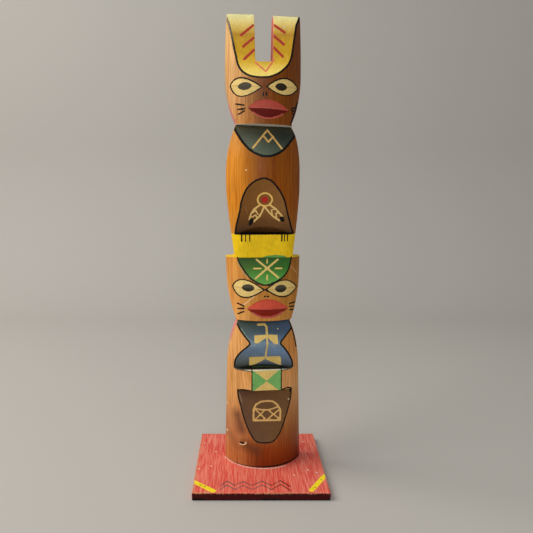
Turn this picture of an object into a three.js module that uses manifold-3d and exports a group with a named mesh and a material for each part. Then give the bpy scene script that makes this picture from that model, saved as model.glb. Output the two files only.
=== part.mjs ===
// A small carved and painted totem pole standing on a square board, the kind sold as a souvenir.
//
// Millimetres, +Z up. The carved front faces -Y, and +X is on the right as one looks at it.
// The origin is the centre of the board's underside, so heights are above the surface it stands on.
//
// The pole is whittled from one D-section billet: flat back, short flat sides, round front.
// Three outlines give its form. The section runs up the billet, the front outline is sawn
// through it from front to back, and the side profile is cut straight across it. Where that
// flat cut leaves the round front, its edge draws the U, collar, dome, hourglass and pocket
// that the paint then follows. The ear slot, the undercut below the belly, the mouths and the
// eyes are cut last.

import * as THREE from "three";
import { mergeVertices } from "three/addons/utils/BufferGeometryUtils.js";
import Module from "manifold-3d";

// ---------------------------------------------------------------- driving dimensions

const BOARD = { side: 101.6, thick: 6, cornerRadius: 1.2, wornEdge: 0.4 };

const FIT_GAP = 0.3; // glue line between the board and the pole's foot

const SECTION = {
  arcRadius: 33.4, // round front of the D section
  front: -13.2, // y of the front-most line
  back: 13.5, // y of the flat back
  halfWidth: 31.2, // half width of the untrimmed billet
  backCorner: 1.6, // worn on the two back edges
  arcSteps: 44,
};

// The pole stands right of the board's centre, leans a little left and is turned a little right.
const STANCE = { footX: 3.3, lean: -1.1, turn: 2.8 };

const TOP = { left: 358, right: 354.6 }; // sawn slightly out of square

// Heights where one cut meets the next, from the foot up.
const LEVEL = {
  foot: BOARD.thick + FIT_GAP,
  pocketFoot: 26.9,
  pocketTop: 68.4,
  squareFoot: 69.5,
  hourglassFoot: 85.8,
  waist: 107.5,
  chin2: 125.7,
  foreheadFoot: 153.9,
  shelf: 174.6,
  bandTop: 192.8,
  domeTop: 235,
  collarFoot: 251.1,
  chin1: 274.4,
  uFoot: 308,
};

// Depths of the flat cuts behind the front-most line.
const DEPTH = {
  pocket: 7.9,
  square: 1.85,
  hourglassFoot: 9.3,
  waist: 2.25,
  collar2: 10.2,
  forehead2: 7.6,
  bandFoot: 6.2,
  bandHead: 5,
  belly: 8.9,
  collar1: 11.2,
  earTips: 16.5,
};

// Half widths of the front outline.
const HALF = {
  foot: 30.8,
  hips: 28.9,
  neck2: 21.3,
  cheeks2: 29.2,
  shelf: 29.5,
  bandFoot: 23.1,
  bandHead: 25.6,
  body1: 29,
  neck1: 20.9,
  cheeks1: 29.3,
  top: 28,
};

// The gap between the ears opens a little towards the top; its sides are [left, right].
const EAR_SLOT = { foot: 320.5, sidesAtFoot: [-6.6, 6.5], sidesAtTop: [-7, 7.4], cornerRadius: 1.8 };

// Arched hollows gouged in below an overhang.
const BELLY_TUCK = { foot: LEVEL.bandTop, halfWidth: 19, rise: 5.4, depth: 12.6 };
const HOURGLASS_TUCK = { foot: LEVEL.hourglassFoot, halfWidth: 18.5, rise: 3.2, depth: 12 };

// Lens-shaped carvings, as [x, z] from the pole's own centre line: the two corners, with a ridge
// between them, the x where the lens is fullest, and how far it swells above and below the ridge.
const MOUTHS = [
  { from: [-12.2, 286.6], to: [17.9, 285.1], fullest: 2, rise: 6.2, fall: 7 }, // upper figure
  { from: [-13.1, 135.2], to: [18.4, 135.2], fullest: 2.2, rise: 7.5, fall: 6.6 }, // lower figure
];
const EYES = [
  { from: [-25.2, 303.7], to: [-2.4, 300.9], fullest: -17.3, rise: 6.1, fall: 7.2 }, // upper figure
  { from: [1.3, 301.3], to: [26, 302.2], fullest: 15.3, rise: 6.2, fall: 6 },
  { from: [-24.3, 151.8], to: [-0.7, 150.2], fullest: -15.9, rise: 6.8, fall: 7.2 }, // lower figure
  { from: [1.3, 150.6], to: [26.3, 150.6], fullest: 15.2, rise: 6.6, fall: 6.4 },
];
const LIP_SLANT = { above: 2, below: 17 }; // degrees that the knife leans in from the ridge
const EYE_SLANT = { above: 7, below: 7 };

const CURVE_STEPS = 10;
const OVERRUN = 4; // how far a cutting tool passes beyond the wood

const FINISH = {
  varnishedCedar: { color: 0x9a5a22, roughness: 0.42, metalness: 0 },
  redPaint: { color: 0xa8382c, roughness: 0.6, metalness: 0 },
};

// ---------------------------------------------------------------- geometry to solid and back

const wasm = await Module();
wasm.setup();

/** A closed three.js geometry as a manifold-3d solid. */
function solidOf(geometry) {
  geometry.deleteAttribute("normal");
  geometry.deleteAttribute("uv");
  const merged = mergeVertices(geometry, 1e-4);
  return new wasm.Manifold(
    new wasm.Mesh({
      numProp: 3,
      vertProperties: new Float32Array(merged.attributes.position.array),
      triVerts: new Uint32Array(merged.index.array),
    }),
  );
}

/** A manifold-3d solid as a three.js geometry. */
function geometryOf(manifold) {
  const { numVert, numProp, vertProperties, triVerts } = manifold.getMesh();
  const position = new Float32Array(numVert * 3);
  for (let i = 0; i < numVert; i++) {
    position.set(vertProperties.subarray(i * numProp, i * numProp + 3), i * 3);
  }
  const geometry = new THREE.BufferGeometry();
  geometry.setAttribute("position", new THREE.BufferAttribute(position, 3));
  geometry.setIndex(new THREE.BufferAttribute(new Uint32Array(triVerts), 1));
  geometry.computeVertexNormals();
  return geometry;
}

/** A shape swept by the given length along +Z of its own frame. */
function extruded(shape, length) {
  return new THREE.ExtrudeGeometry(shape, {
    depth: length,
    bevelEnabled: false,
    curveSegments: CURVE_STEPS,
  });
}

/** A shape drawn in (x, z), sawn through the wood from one y to another. */
function sawnThrough(shape, fromY, toY) {
  const geometry = extruded(shape, toY - fromY);
  geometry.rotateX(Math.PI / 2);
  geometry.translate(0, toY, 0);
  return solidOf(geometry);
}

/** A shape drawn in (y, z), cut straight across the wood. */
function cutAcross(shape) {
  const reach = SECTION.halfWidth + OVERRUN;
  const geometry = extruded(shape, 2 * reach);
  geometry.rotateY(Math.PI / 2).rotateX(Math.PI / 2);
  geometry.translate(-reach, 0, 0);
  return solidOf(geometry);
}

// ---------------------------------------------------------------- the billet

const ARC_CENTRE_Y = SECTION.front + SECTION.arcRadius;

/** Half of the angle that the round front spans. */
const ARC_REACH = Math.asin(SECTION.halfWidth / SECTION.arcRadius);

/** The D section: a round front, two short sides and a flat back with worn corners. */
function sectionShape() {
  const { arcRadius, back, halfWidth, backCorner, arcSteps } = SECTION;
  const arc = Array.from({ length: arcSteps + 1 }, (_, i) => {
    const angle = ARC_REACH * ((2 * i) / arcSteps - 1);
    return new THREE.Vector2(
      arcRadius * Math.sin(angle),
      ARC_CENTRE_Y - arcRadius * Math.cos(angle),
    );
  });
  const shape = new THREE.Shape(arc);
  shape.lineTo(halfWidth, back - backCorner);
  shape.lineTo(halfWidth - backCorner, back);
  shape.lineTo(backCorner - halfWidth, back);
  shape.lineTo(-halfWidth, back - backCorner);
  shape.closePath();
  return shape;
}

/** The D section run up the whole pole. */
function billet() {
  const bottom = LEVEL.foot - OVERRUN;
  const geometry = extruded(sectionShape(), TOP.left + OVERRUN - bottom);
  geometry.translate(0, 0, bottom);
  return solidOf(geometry);
}

// ---------------------------------------------------------------- the front outline

/** One side of the front outline from foot to top, as points; side is 1 for right, -1 for left. */
function outlineSide(side) {
  const path = new THREE.Path();
  path.moveTo(HALF.foot, LEVEL.foot);
  path.lineTo(HALF.hips, LEVEL.hourglassFoot);
  path.quadraticCurveTo(28.6, 108, HALF.neck2, LEVEL.chin2 - 1.9); // shoulder of the lower figure
  path.quadraticCurveTo(29.2, 142.5, HALF.cheeks2, 160); // its jaw
  path.lineTo(HALF.shelf, LEVEL.shelf);
  path.lineTo(HALF.bandFoot, LEVEL.shelf + 0.2);
  path.lineTo(HALF.bandHead, LEVEL.bandTop);
  path.quadraticCurveTo(28, 211, HALF.body1, 227); // flank of the upper figure
  path.lineTo(HALF.body1, 241);
  path.quadraticCurveTo(29.4, 260, HALF.neck1, LEVEL.chin1 + 1.6); // its shoulder
  path.quadraticCurveTo(28.3, 289.5, HALF.cheeks1, LEVEL.uFoot); // its jaw
  path.quadraticCurveTo(29.6, 332, HALF.top, side < 0 ? TOP.left : TOP.right); // its ear
  return path.getPoints(CURVE_STEPS).map((p) => new THREE.Vector2(side * p.x, p.y));
}

/** The whole front outline, as sawn through from front to back. */
function frontOutline() {
  const shape = new THREE.Shape([...outlineSide(1), ...outlineSide(-1).reverse()]);
  return sawnThrough(shape, SECTION.front - OVERRUN, SECTION.back + OVERRUN);
}

// ---------------------------------------------------------------- the side profile

/** What the straight cuts leave, seen from the side; a path point is (y, z). */
function sideProfile() {
  const behind = (depth) => SECTION.front + depth;
  const farBack = SECTION.back + OVERRUN;
  const shape = new THREE.Shape();
  shape.moveTo(farBack, LEVEL.foot);
  shape.lineTo(behind(0), LEVEL.foot);
  shape.lineTo(behind(0), LEVEL.pocketFoot);
  shape.quadraticCurveTo(behind(1.2), 28.5, behind(4), 44); // pocket, scooped in from below
  shape.quadraticCurveTo(behind(DEPTH.pocket - 0.4), 60, behind(DEPTH.pocket), LEVEL.pocketTop);
  shape.lineTo(behind(DEPTH.square), LEVEL.squareFoot);
  shape.lineTo(behind(DEPTH.square), LEVEL.hourglassFoot);
  shape.lineTo(behind(DEPTH.hourglassFoot), LEVEL.hourglassFoot); // ledge below the hourglass
  shape.quadraticCurveTo(behind(DEPTH.hourglassFoot), 92, behind(8), 94.6);
  shape.lineTo(behind(DEPTH.waist), LEVEL.waist);
  shape.lineTo(behind(DEPTH.collar2), LEVEL.chin2); // upper half of the hourglass
  shape.lineTo(behind(0), LEVEL.chin2);
  shape.lineTo(behind(0), LEVEL.foreheadFoot);
  shape.quadraticCurveTo(behind(1), 156.6, behind(4), 163); // forehead of the lower figure
  shape.lineTo(behind(DEPTH.forehead2), LEVEL.shelf);
  shape.lineTo(behind(DEPTH.bandFoot), LEVEL.shelf + 0.5);
  shape.lineTo(behind(DEPTH.bandHead), LEVEL.bandTop); // the feet band
  shape.lineTo(behind(DEPTH.belly), LEVEL.bandTop);
  shape.quadraticCurveTo(behind(5.6), 207, behind(4.45), 217); // belly
  shape.quadraticCurveTo(behind(2), 229.5, behind(0), LEVEL.domeTop);
  shape.lineTo(behind(0), LEVEL.collarFoot);
  shape.lineTo(behind(DEPTH.collar1), LEVEL.chin1); // collar, slanting in under the chin
  shape.lineTo(behind(0), LEVEL.chin1);
  shape.lineTo(behind(0), LEVEL.uFoot);
  shape.quadraticCurveTo(behind(3.6), 311.2, behind(5.9), 319); // foot of the U
  shape.quadraticCurveTo(behind(8.2), 333, behind(11.1), 347.7); // ears
  shape.quadraticCurveTo(behind(12.2), 351, behind(DEPTH.earTips), TOP.left); // rolled-back tips
  shape.lineTo(farBack, TOP.left);
  shape.closePath();
  return cutAcross(shape);
}

// ---------------------------------------------------------------- cuts into the front

/** The gap between the ears, right through the wood, with rounded lower corners. */
function earSlot() {
  const { foot, sidesAtFoot, sidesAtTop, cornerRadius: r } = EAR_SLOT;
  const [left, right] = sidesAtFoot;
  const shape = new THREE.Shape();
  shape.moveTo(sidesAtTop[0], TOP.left + OVERRUN);
  shape.lineTo(left, foot + r);
  shape.absarc(left + r, foot + r, r, Math.PI, 1.5 * Math.PI);
  shape.absarc(right - r, foot + r, r, 1.5 * Math.PI, 2 * Math.PI);
  shape.lineTo(sidesAtTop[1], TOP.left + OVERRUN);
  shape.closePath();
  return sawnThrough(shape, SECTION.front - OVERRUN, SECTION.back + OVERRUN);
}

/** An arched hollow below an overhang: the belly, or the foot of the hourglass. */
function tuck({ foot, halfWidth, rise, depth }) {
  const shape = new THREE.Shape();
  shape.moveTo(-halfWidth, foot);
  shape.quadraticCurveTo(0, foot + 2 * rise, halfWidth, foot);
  shape.closePath();
  return sawnThrough(shape, SECTION.front - OVERRUN, SECTION.front + depth);
}

/** The round front tipped about the level line z = 0, leaning back above it by the angle. */
function leaningFront(degrees) {
  const geometry = extruded(sectionShape(), 8 * OVERRUN);
  geometry.translate(0, -SECTION.front, -4 * OVERRUN);
  geometry.rotateX(THREE.MathUtils.degToRad(-degrees));
  geometry.translate(0, SECTION.front, 0);
  return solidOf(geometry);
}

/** One facet of a lens: its half outline, cut down to the leaning front along a sloping ridge. */
function lensFacet({ from: [x0, z0], to: [x1, z1], fullest }, swell, degrees) {
  const middle = (x0 + x1) / 2;
  const shape = new THREE.Shape();
  shape.moveTo(x0, 0);
  shape.quadraticCurveTo(2 * fullest - middle, 2 * swell, x1, 0);
  shape.closePath();
  const facet = sawnThrough(shape, SECTION.front - OVERRUN, ARC_CENTRE_Y);
  const slope = (z1 - z0) / (x1 - x0);
  const ontoRidge = new THREE.Matrix4().makeShear(0, slope, 0, 0, 0, 0);
  ontoRidge.setPosition(0, 0, z0 - slope * x0);
  return facet.subtract(leaningFront(degrees)).transform(ontoRidge.elements);
}

/** The two facets of every mouth and eye. */
function lensCuts() {
  const cuts = [];
  const lenses = [
    ...MOUTHS.map((lens) => ({ lens, slant: LIP_SLANT })),
    ...EYES.map((lens) => ({ lens, slant: EYE_SLANT })),
  ];
  for (const { lens, slant } of lenses) {
    cuts.push(lensFacet(lens, lens.rise, slant.above));
    cuts.push(lensFacet(lens, -lens.fall, -slant.below));
  }
  return cuts;
}

// ---------------------------------------------------------------- the two pieces

/** The carved pole, one piece of wood. */
function totemPole() {
  let wood = billet().intersect(frontOutline()).intersect(sideProfile());
  for (const cut of [earSlot(), tuck(BELLY_TUCK), tuck(HOURGLASS_TUCK), ...lensCuts()]) {
    wood = wood.subtract(cut);
  }
  const geometry = geometryOf(wood);
  geometry.rotateZ(THREE.MathUtils.degToRad(STANCE.turn));
  geometry.applyMatrix4(new THREE.Matrix4().makeShear(0, 0, 0, 0, STANCE.lean / TOP.left, 0));
  geometry.translate(STANCE.footX, 0, 0);
  const pole = new THREE.Mesh(geometry, new THREE.MeshStandardMaterial(FINISH.varnishedCedar));
  pole.name = "totem_pole";
  return pole;
}

/** The square board, its upper and lower edges a little worn. */
function baseBoard() {
  const { side, thick, cornerRadius: r, wornEdge } = BOARD;
  const half = side / 2 - wornEdge;
  const shape = new THREE.Shape();
  shape.moveTo(half, -half + r);
  shape.absarc(half - r, half - r, r, 0, 0.5 * Math.PI);
  shape.absarc(r - half, half - r, r, 0.5 * Math.PI, Math.PI);
  shape.absarc(r - half, r - half, r, Math.PI, 1.5 * Math.PI);
  shape.absarc(half - r, r - half, r, 1.5 * Math.PI, 2 * Math.PI);
  const geometry = new THREE.ExtrudeGeometry(shape, {
    depth: thick - 2 * wornEdge,
    bevelThickness: wornEdge,
    bevelSize: wornEdge,
    bevelSegments: 2,
    curveSegments: 4,
  });
  geometry.translate(0, 0, wornEdge);
  const board = new THREE.Mesh(
    geometryOf(solidOf(geometry)),
    new THREE.MeshStandardMaterial(FINISH.redPaint),
  );
  board.name = "base_board";
  return board;
}

const totem = new THREE.Group();
totem.add(baseBoard(), totemPole());

export default totem;
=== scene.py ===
"""A small carved and painted totem pole on its square board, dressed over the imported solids.

The pole is shaped and painted in its own frame, in millimetres: x to the right of its centre
line, y from front to back, z above the surface that the board stands on. Stance places it.
"""

import logging
import math
from collections.abc import Callable
from dataclasses import dataclass
from enum import Enum

import bpy
import numpy as np
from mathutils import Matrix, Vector
from mathutils.geometry import delaunay_2d_cdt


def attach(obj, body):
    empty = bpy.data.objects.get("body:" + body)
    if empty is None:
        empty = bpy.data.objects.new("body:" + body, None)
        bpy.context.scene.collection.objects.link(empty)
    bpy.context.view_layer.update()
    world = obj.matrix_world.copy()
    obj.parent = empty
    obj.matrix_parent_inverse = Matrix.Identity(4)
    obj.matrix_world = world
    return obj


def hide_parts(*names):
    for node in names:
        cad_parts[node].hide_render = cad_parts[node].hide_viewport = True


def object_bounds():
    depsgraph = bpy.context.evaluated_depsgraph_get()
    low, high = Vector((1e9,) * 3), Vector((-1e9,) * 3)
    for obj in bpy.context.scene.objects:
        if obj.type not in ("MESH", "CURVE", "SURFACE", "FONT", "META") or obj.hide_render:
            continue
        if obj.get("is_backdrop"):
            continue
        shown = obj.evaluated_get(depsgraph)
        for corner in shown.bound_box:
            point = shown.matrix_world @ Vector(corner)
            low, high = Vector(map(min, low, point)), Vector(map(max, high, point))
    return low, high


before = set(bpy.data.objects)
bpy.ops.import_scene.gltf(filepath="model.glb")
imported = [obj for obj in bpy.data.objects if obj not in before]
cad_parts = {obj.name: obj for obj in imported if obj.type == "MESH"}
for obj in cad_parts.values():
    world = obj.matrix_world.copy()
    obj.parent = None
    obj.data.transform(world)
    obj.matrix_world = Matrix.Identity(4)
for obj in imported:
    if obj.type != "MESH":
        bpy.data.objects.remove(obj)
CAD_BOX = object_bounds()

LOG = logging.getLogger("totem")
MM = 0.001
Array = np.ndarray
Points = tuple[tuple[float, float], ...]
Near = Callable[[Array], Array]
Socket, Tree = bpy.types.NodeSocket, bpy.types.NodeTree


# ------------------------------------------------------------------ small tools


def linear(colour: str) -> tuple[float, float, float, float]:
    """An sRGB hex colour as linear RGBA.

    Args:
        colour: six hex digits after a hash sign.

    Returns:
        The four linear components.
    """
    parts = [int(colour[i : i + 2], 16) / 255 for i in (1, 3, 5)]
    return (*(p / 12.92 if p <= 0.04045 else ((p + 0.055) / 1.055) ** 2.4 for p in parts), 1.0)


def add(tree: Tree, kind: str, links: dict | None = None, **settings) -> bpy.types.Node:
    """Add a node with its settings and links.

    Args:
        tree: the tree that the node goes into.
        kind: the node's type name.
        links: by input name or index, the socket that feeds it or the value that it holds.
        settings: the node's own properties.

    Returns:
        The new node.
    """
    node = tree.nodes.new(kind)
    for name, value in settings.items():
        setattr(node, name, value)
    for key, value in (links or {}).items():
        if isinstance(value, Socket):
            tree.links.new(value, node.inputs[key])
        else:
            node.inputs[key].default_value = value
    return node


def bent(start: tuple[float, float], *spans: tuple, steps: int = 16) -> Array:
    """A path of straight lines and simple bends.

    Args:
        start: its first point.
        spans: each is an end point, or a control point and an end point.
        steps: how many pieces a bend is cut into.

    Returns:
        The points of the path, one a row.
    """
    path = [np.array(start, float)]
    for span in spans:
        if len(span) == 2 and not isinstance(span[0], tuple):
            path.append(np.array(span, float))
            continue
        first, control, end = path[-1], *(np.array(p, float) for p in span)
        for t in np.linspace(0, 1, steps + 1)[1:]:
            path.append((1 - t) ** 2 * first + 2 * t * (1 - t) * control + t * t * end)
    return np.array(path)


def through(heights: Array, values: Array, at: Array) -> Array:
    """A smooth curve through given values that never overshoots them.

    Args:
        heights: where the values are known, rising.
        values: the known values.
        at: where the curve is wanted.

    Returns:
        The curve's values; it runs on straight beyond its ends.
    """
    run = np.diff(heights)
    slope = np.diff(values) / run
    tangent = np.empty(len(heights))
    tangent[0], tangent[-1] = slope[0], slope[-1]
    before, after = slope[:-1], slope[1:]
    same = before * after > 0
    tangent[1:-1] = np.where(same, 2 * before * after / np.where(same, before + after, 1), 0)
    i = np.clip(np.searchsorted(heights, at) - 1, 0, len(run) - 1)
    t = np.clip((at - heights[i]) / run[i], 0, 1)
    inside = (
        (1 + 2 * t) * (1 - t) ** 2 * values[i]
        + t * (1 - t) ** 2 * run[i] * tangent[i]
        + t * t * (3 - 2 * t) * values[i + 1]
        - t * t * (1 - t) * run[i] * tangent[i + 1]
    )
    beyond = np.where(at < heights[0], (at - heights[0]) * slope[0], 0)
    return inside + beyond + np.where(at > heights[-1], (at - heights[-1]) * slope[-1], 0)


def distance_to(line: Array, points: Array) -> Array:
    """How far each point is from a line of straight pieces.

    Args:
        line: the line's corners.
        points: the points to measure from.

    Returns:
        One distance for each point.
    """
    nearest = np.full(len(points), np.inf)
    for a, b in zip(line[:-1], line[1:]):
        along = b - a
        t = np.clip((points - a) @ along / max(along @ along, 1e-12), 0, 1)
        nearest = np.minimum(nearest, np.hypot(*(points - a - t[:, None] * along).T))
    return nearest


def inside_by(outline: Array, points: Array) -> Array:
    """How far each point is inside a closed outline, negative outside it.

    Args:
        outline: the outline's corners, not repeating the first.
        points: the points to measure.

    Returns:
        One signed distance for each point.
    """
    closed = np.vstack([outline, outline[:1]])
    x, z = points.T
    odd = np.zeros(len(points), bool)
    for (ax, az), (bx, bz) in zip(closed[:-1], closed[1:]):
        crosses = (az > z) != (bz > z)
        if az != bz:
            odd ^= crosses & (x < (bx - ax) * (z - az) / (bz - az) + ax)
    return np.where(odd, 1, -1) * distance_to(closed, points)


def eased(value: Array | float) -> Array:
    """A smooth rise from 0 to 1 as the value goes from 0 to 1."""
    t = np.clip(value, 0, 1)
    return t * t * (3 - 2 * t)


# ------------------------------------------------------------------ the pole's form


@dataclass(frozen=True)
class Stance:
    """How the pole stands on the board: a little off centre, turned, and leaning to the left."""

    foot_x: float = 3.3
    lean: float = -1.35
    turn: float = 2.8
    height: float = 358.0

    def placed(self, own: Array) -> Array:
        """Points of the pole's own frame, in the shared frame.

        Args:
            own: points in the pole's own frame, in millimetres.

        Returns:
            The same points in the shared frame, in metres.
        """
        x, y, z = own.T
        c, s = math.cos(math.radians(self.turn)), math.sin(math.radians(self.turn))
        shifted = x * c - y * s + self.lean / self.height * z + self.foot_x
        return np.column_stack((shifted, x * s + y * c, z)) * MM


@dataclass(frozen=True)
class Section:
    """The D section of the billet: a round front and a flat back."""

    arc_radius: float = 33.4
    front: float = -13.2
    back: float = 13.5
    widest: float = 32.0

    def arc_depth(self, x: Array) -> Array:
        """How far the round front lies behind its front-most line, at each x."""
        across = np.clip(x, -self.widest, self.widest)
        return self.arc_radius - np.sqrt(self.arc_radius**2 - across**2)


@dataclass(frozen=True)
class Cut:
    """A straight cut across the front.

    Each level is (height, depth behind the front-most line, extra depth per mm to the right).
    """

    levels: tuple[tuple[float, float, float], ...]

    @property
    def bottom(self) -> float:
        """The lowest height of the cut."""
        return self.levels[0][0]

    @property
    def top(self) -> float:
        """The highest height of the cut."""
        return self.levels[-1][0]

    def depth(self, z: Array) -> Array:
        """Depth on the centre line at each height."""
        level = np.array(self.levels)
        return through(level[:, 0], level[:, 1], z)

    def cant(self, z: Array) -> Array:
        """Extra depth per mm to the right at each height."""
        level = np.array(self.levels)
        return np.interp(z, level[:, 0], level[:, 2])

    def deep(self, x: Array, z: Array) -> Array:
        """Depth at each distance from the middle and height."""
        return self.depth(z) + self.cant(z) * x

    def edge(self, section: Section, side: int, steps: int = 40) -> Array:
        """The line where the cut leaves the round front, from its bottom up.

        Args:
            section: the billet's section.
            side: 1 for the right edge, -1 for the left.
            steps: how many pieces the line is cut into.

        Returns:
            Points (x, z) of the edge.
        """
        # the points crowd towards the bottom, where the edge bends most
        z = self.bottom + (self.top - self.bottom) * np.linspace(0, 1, steps + 1) ** 1.6
        x = np.full(len(z), side * 5.0)
        # the depth changes across the cut, so x settles over some rounds
        for _ in range(30):
            depth = np.clip(self.deep(x, z), 0, section.arc_radius)
            x = side * np.sqrt(section.arc_radius**2 - (section.arc_radius - depth) ** 2)
        return np.column_stack((x, z))


@dataclass(frozen=True)
class Lens:
    """A lens-shaped carving whose two facets fall in from a ridge between its corners."""

    left: tuple[float, float]
    right: tuple[float, float]
    fullest: float
    rise: float
    fall: float
    lean_above: float
    lean_below: float
    wall: float

    def ridge(self, x: Array) -> Array:
        """Height of the ridge at each x."""
        (x0, z0), (x1, z1) = self.left, self.right
        return z0 + (x - x0) * (z1 - z0) / (x1 - x0)

    def outline(self) -> Array:
        """The closed outline.

        Returns:
            Its corners (x, z), over the top and back along the bottom.
        """
        (x0, z0), (x1, z1) = self.left, self.right
        control = 2 * self.fullest - (x0 + x1) / 2
        middle = (z0 + z1) / 2
        over = bent(self.left, ((control, middle + 2 * self.rise), self.right), steps=22)
        under = bent(self.right, ((control, middle - 2 * self.fall), self.left), steps=22)
        return np.vstack((over[:-1], under[:-1]))

    def carved(self, points: Array) -> Array:
        """How much deeper than the round front the carving is.

        Args:
            points: the points (x, z) to measure at.

        Returns:
            One depth for each point.
        """
        x, z = points.T
        above = z - self.ridge(x)
        lean = np.where(above > 0, self.lean_above, self.lean_below)
        deep = np.abs(above) * np.tan(np.radians(lean))
        return deep * eased(inside_by(self.outline(), points) / self.wall)


@dataclass(frozen=True)
class Tuck:
    """An arched hollow gouged in under an overhang."""

    foot: float
    half_width: float
    rise: float
    depth: float

    def carved(self, points: Array) -> Array:
        """How much deeper the hollow is than the cut around it.

        Args:
            points: the points (x, z) to measure at.

        Returns:
            One depth for each point.
        """
        x, z = points.T
        arch = np.clip(1 - (x / self.half_width) ** 2, 0, None)
        down = np.clip(1 - (z - self.foot) / np.maximum(self.rise * arch, 1e-6), 0, 1)
        return np.where((z > self.foot) & (arch > 0), self.depth * np.sqrt(arch) * down**0.75, 0)


@dataclass(frozen=True)
class Form:
    """Everything that gives the carved pole its shape."""

    NO_CUT = -9.0

    section: Section = Section()
    foot: float = 6.3
    pocket: Cut = Cut(
        (
            (26.9, 0, 0.01), (27.7, 0.6, 0.01), (33, 1.9, 0.018), (44, 4, 0.018),
            (57.5, 6.6, 0.033), (64, 7.7, 0.028), (68.6, 7.9, 0.028),
        )
    )
    square: Cut = Cut(((69.6, 1.8, 0.063), (85.7, 1.8, 0.063)))
    hourglass: Cut = Cut(
        (
            (85.9, 9.3, 0), (88.5, 9.35, 0), (91.2, 9, -0.006), (94.2, 8, -0.012),
            (99, 5.85, -0.003), (104, 3.4, 0.021), (107.5, 2.2, 0.021), (111.4, 3.45, 0.025),
            (118.6, 7.1, 0.05), (121.2, 8.2, 0.055), (125.6, 10.1, 0.055),
        )
    )
    forehead: Cut = Cut(
        (
            (153.9, 0, 0.02), (155, 0.3, 0.023), (159, 2.3, 0.047), (163, 4, 0.058),
            (167, 5.45, 0.048), (170, 6.4, 0.027), (174.55, 7.4, 0.015),
        )
    )
    band: Cut = Cut(((174.75, 6.2, 0), (192.7, 5, 0)))
    belly: Cut = Cut(
        (
            (192.9, 8.8, 0.018), (199, 7.45, -0.011), (211, 5.2, -0.022), (217, 4.45, -0.03),
            (226.5, 2.35, -0.048), (230.6, 1.2, -0.045), (235, 0, -0.02),
        )
    )
    collar: Cut = Cut(
        (
            (251.1, 0, 0.045), (252, 0.4, 0.045), (254, 1.45, 0.045),
            (262, 5.25, 0.056), (266, 7.3, 0.072), (274.3, 11.2, 0.08),
        )
    )
    ears: Cut = Cut(
        (
            (308, 0, -0.05), (309, 0.8, -0.07), (313, 3.3, -0.063), (315, 4.3, -0.055),
            (319, 5.9, -0.026), (324, 7.05, -0.01), (338, 9.3, -0.019), (348, 11.3, -0.033),
            (351, 12.7, -0.022), (357, 15.6, -0.02),
        )
    )
    mouths: tuple[Lens, ...] = (
        Lens((-12.2, 286.6), (17.9, 285.1), 2, 6.2, 7, 2, 17, 0.8),
        Lens((-13.1, 135.0), (18.4, 135.0), 2.2, 7.7, 6.4, 2, 17, 0.8),
    )
    eyes: tuple[Lens, ...] = (
        Lens((-25.2, 303.7), (-2.4, 300.9), -17.3, 6.1, 7.2, 7, 7, 0.35),
        Lens((1.3, 301.3), (26, 302.2), 15.3, 6.2, 6, 7, 7, 0.35),
        Lens((-24.3, 151.8), (-0.7, 150.2), -15.9, 6.8, 7.2, 7, 7, 0.35),
        Lens((1.3, 150.6), (26.3, 150.6), 15.2, 6.6, 6.4, 7, 7, 0.35),
    )
    lens_reach: float = 12.0
    tucks: tuple[Tuck, ...] = (Tuck(192.8, 19, 5.4, 3.8), Tuck(85.8, 18.5, 3.2, 2.7))
    tuck_reach: float = 6.0
    slot_foot: float = 320.5
    slot_corner: float = 1.8
    slot_at_foot: tuple[float, float] = (-6.6, 6.5)
    slot_at_top: tuple[float, float] = (-7.0, 7.4)
    worn_edge: float = 0.25
    head: float = 356.1
    # height of a ledge that is sawn square across
    thin_ledge: float = 0.2
    # how softly a cut runs into the round front: on the brow under the band, and elsewhere
    brow_blend: float = 3.0
    blend: float = 0.2
    # fall of the level rows per mm to the right, at each height: chin and top are out of square
    slopes: Points = ((262, 0), (274.4, 0.03), (290, 0), (335, 0), (356.1, 0.045))
    # above this height, the left ear's top has this share of the right one's fall
    left_ear_from: float = 335.0
    left_ear_share: float = 0.3

    @property
    def cuts(self) -> tuple[Cut, ...]:
        """Every straight cut from the foot up."""
        lower = (self.pocket, self.square, self.hourglass, self.forehead)
        return (*lower, self.band, self.belly, self.collar, self.ears)

    @property
    def ledges(self) -> tuple[tuple[Cut, Cut | None], ...]:
        """The cuts below and above each ledge, or None where the uncut round overhangs."""
        return (
            (self.pocket, self.square),
            (self.square, self.hourglass),
            (self.hourglass, None),
            (self.forehead, self.band),
            (self.band, self.belly),
            (self.collar, None),
        )

    def outline(self) -> Array:
        """The front outline.

        Returns:
            Its points (half width, height), from the foot up.
        """
        return bent(
            (30.8, self.foot),
            (28.9, 85.8),
            ((28, 107.5), (20.8, 123.8)),
            ((28.2, 142.5), (28.7, 160)),
            (29.2, 174.6),
            (22.4, 174.8),
            (24.9, 192.8),
            ((27.5, 211), (28.6, 227)),
            (28.6, 241),
            ((28.4, 260), (20.7, 276)),
            ((27.6, 289.5), (28.7, 308)),
            ((29, 332), (27.3, 358)),
        )

    def half(self, z: Array) -> Array:
        """Half width of the front outline at each height."""
        half, height = self.outline().T
        return np.interp(z, height, half)

    def shifted(self, x: Array, row: Array) -> Array:
        """True height of a point on a level row, where the cuts slope across the pole.

        Args:
            x: distance to the right of the centre line.
            row: height on the level rows.

        Returns:
            One height for each point.
        """
        height, slope = np.array(self.slopes).T
        inner = self.slot_at_top[0]
        on_left_ear = (row > self.left_ear_from) & (x < inner)
        reach = np.where(on_left_ear, inner + self.left_ear_share * (x - inner), x)
        return row - np.interp(row, height, slope) * reach

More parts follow.
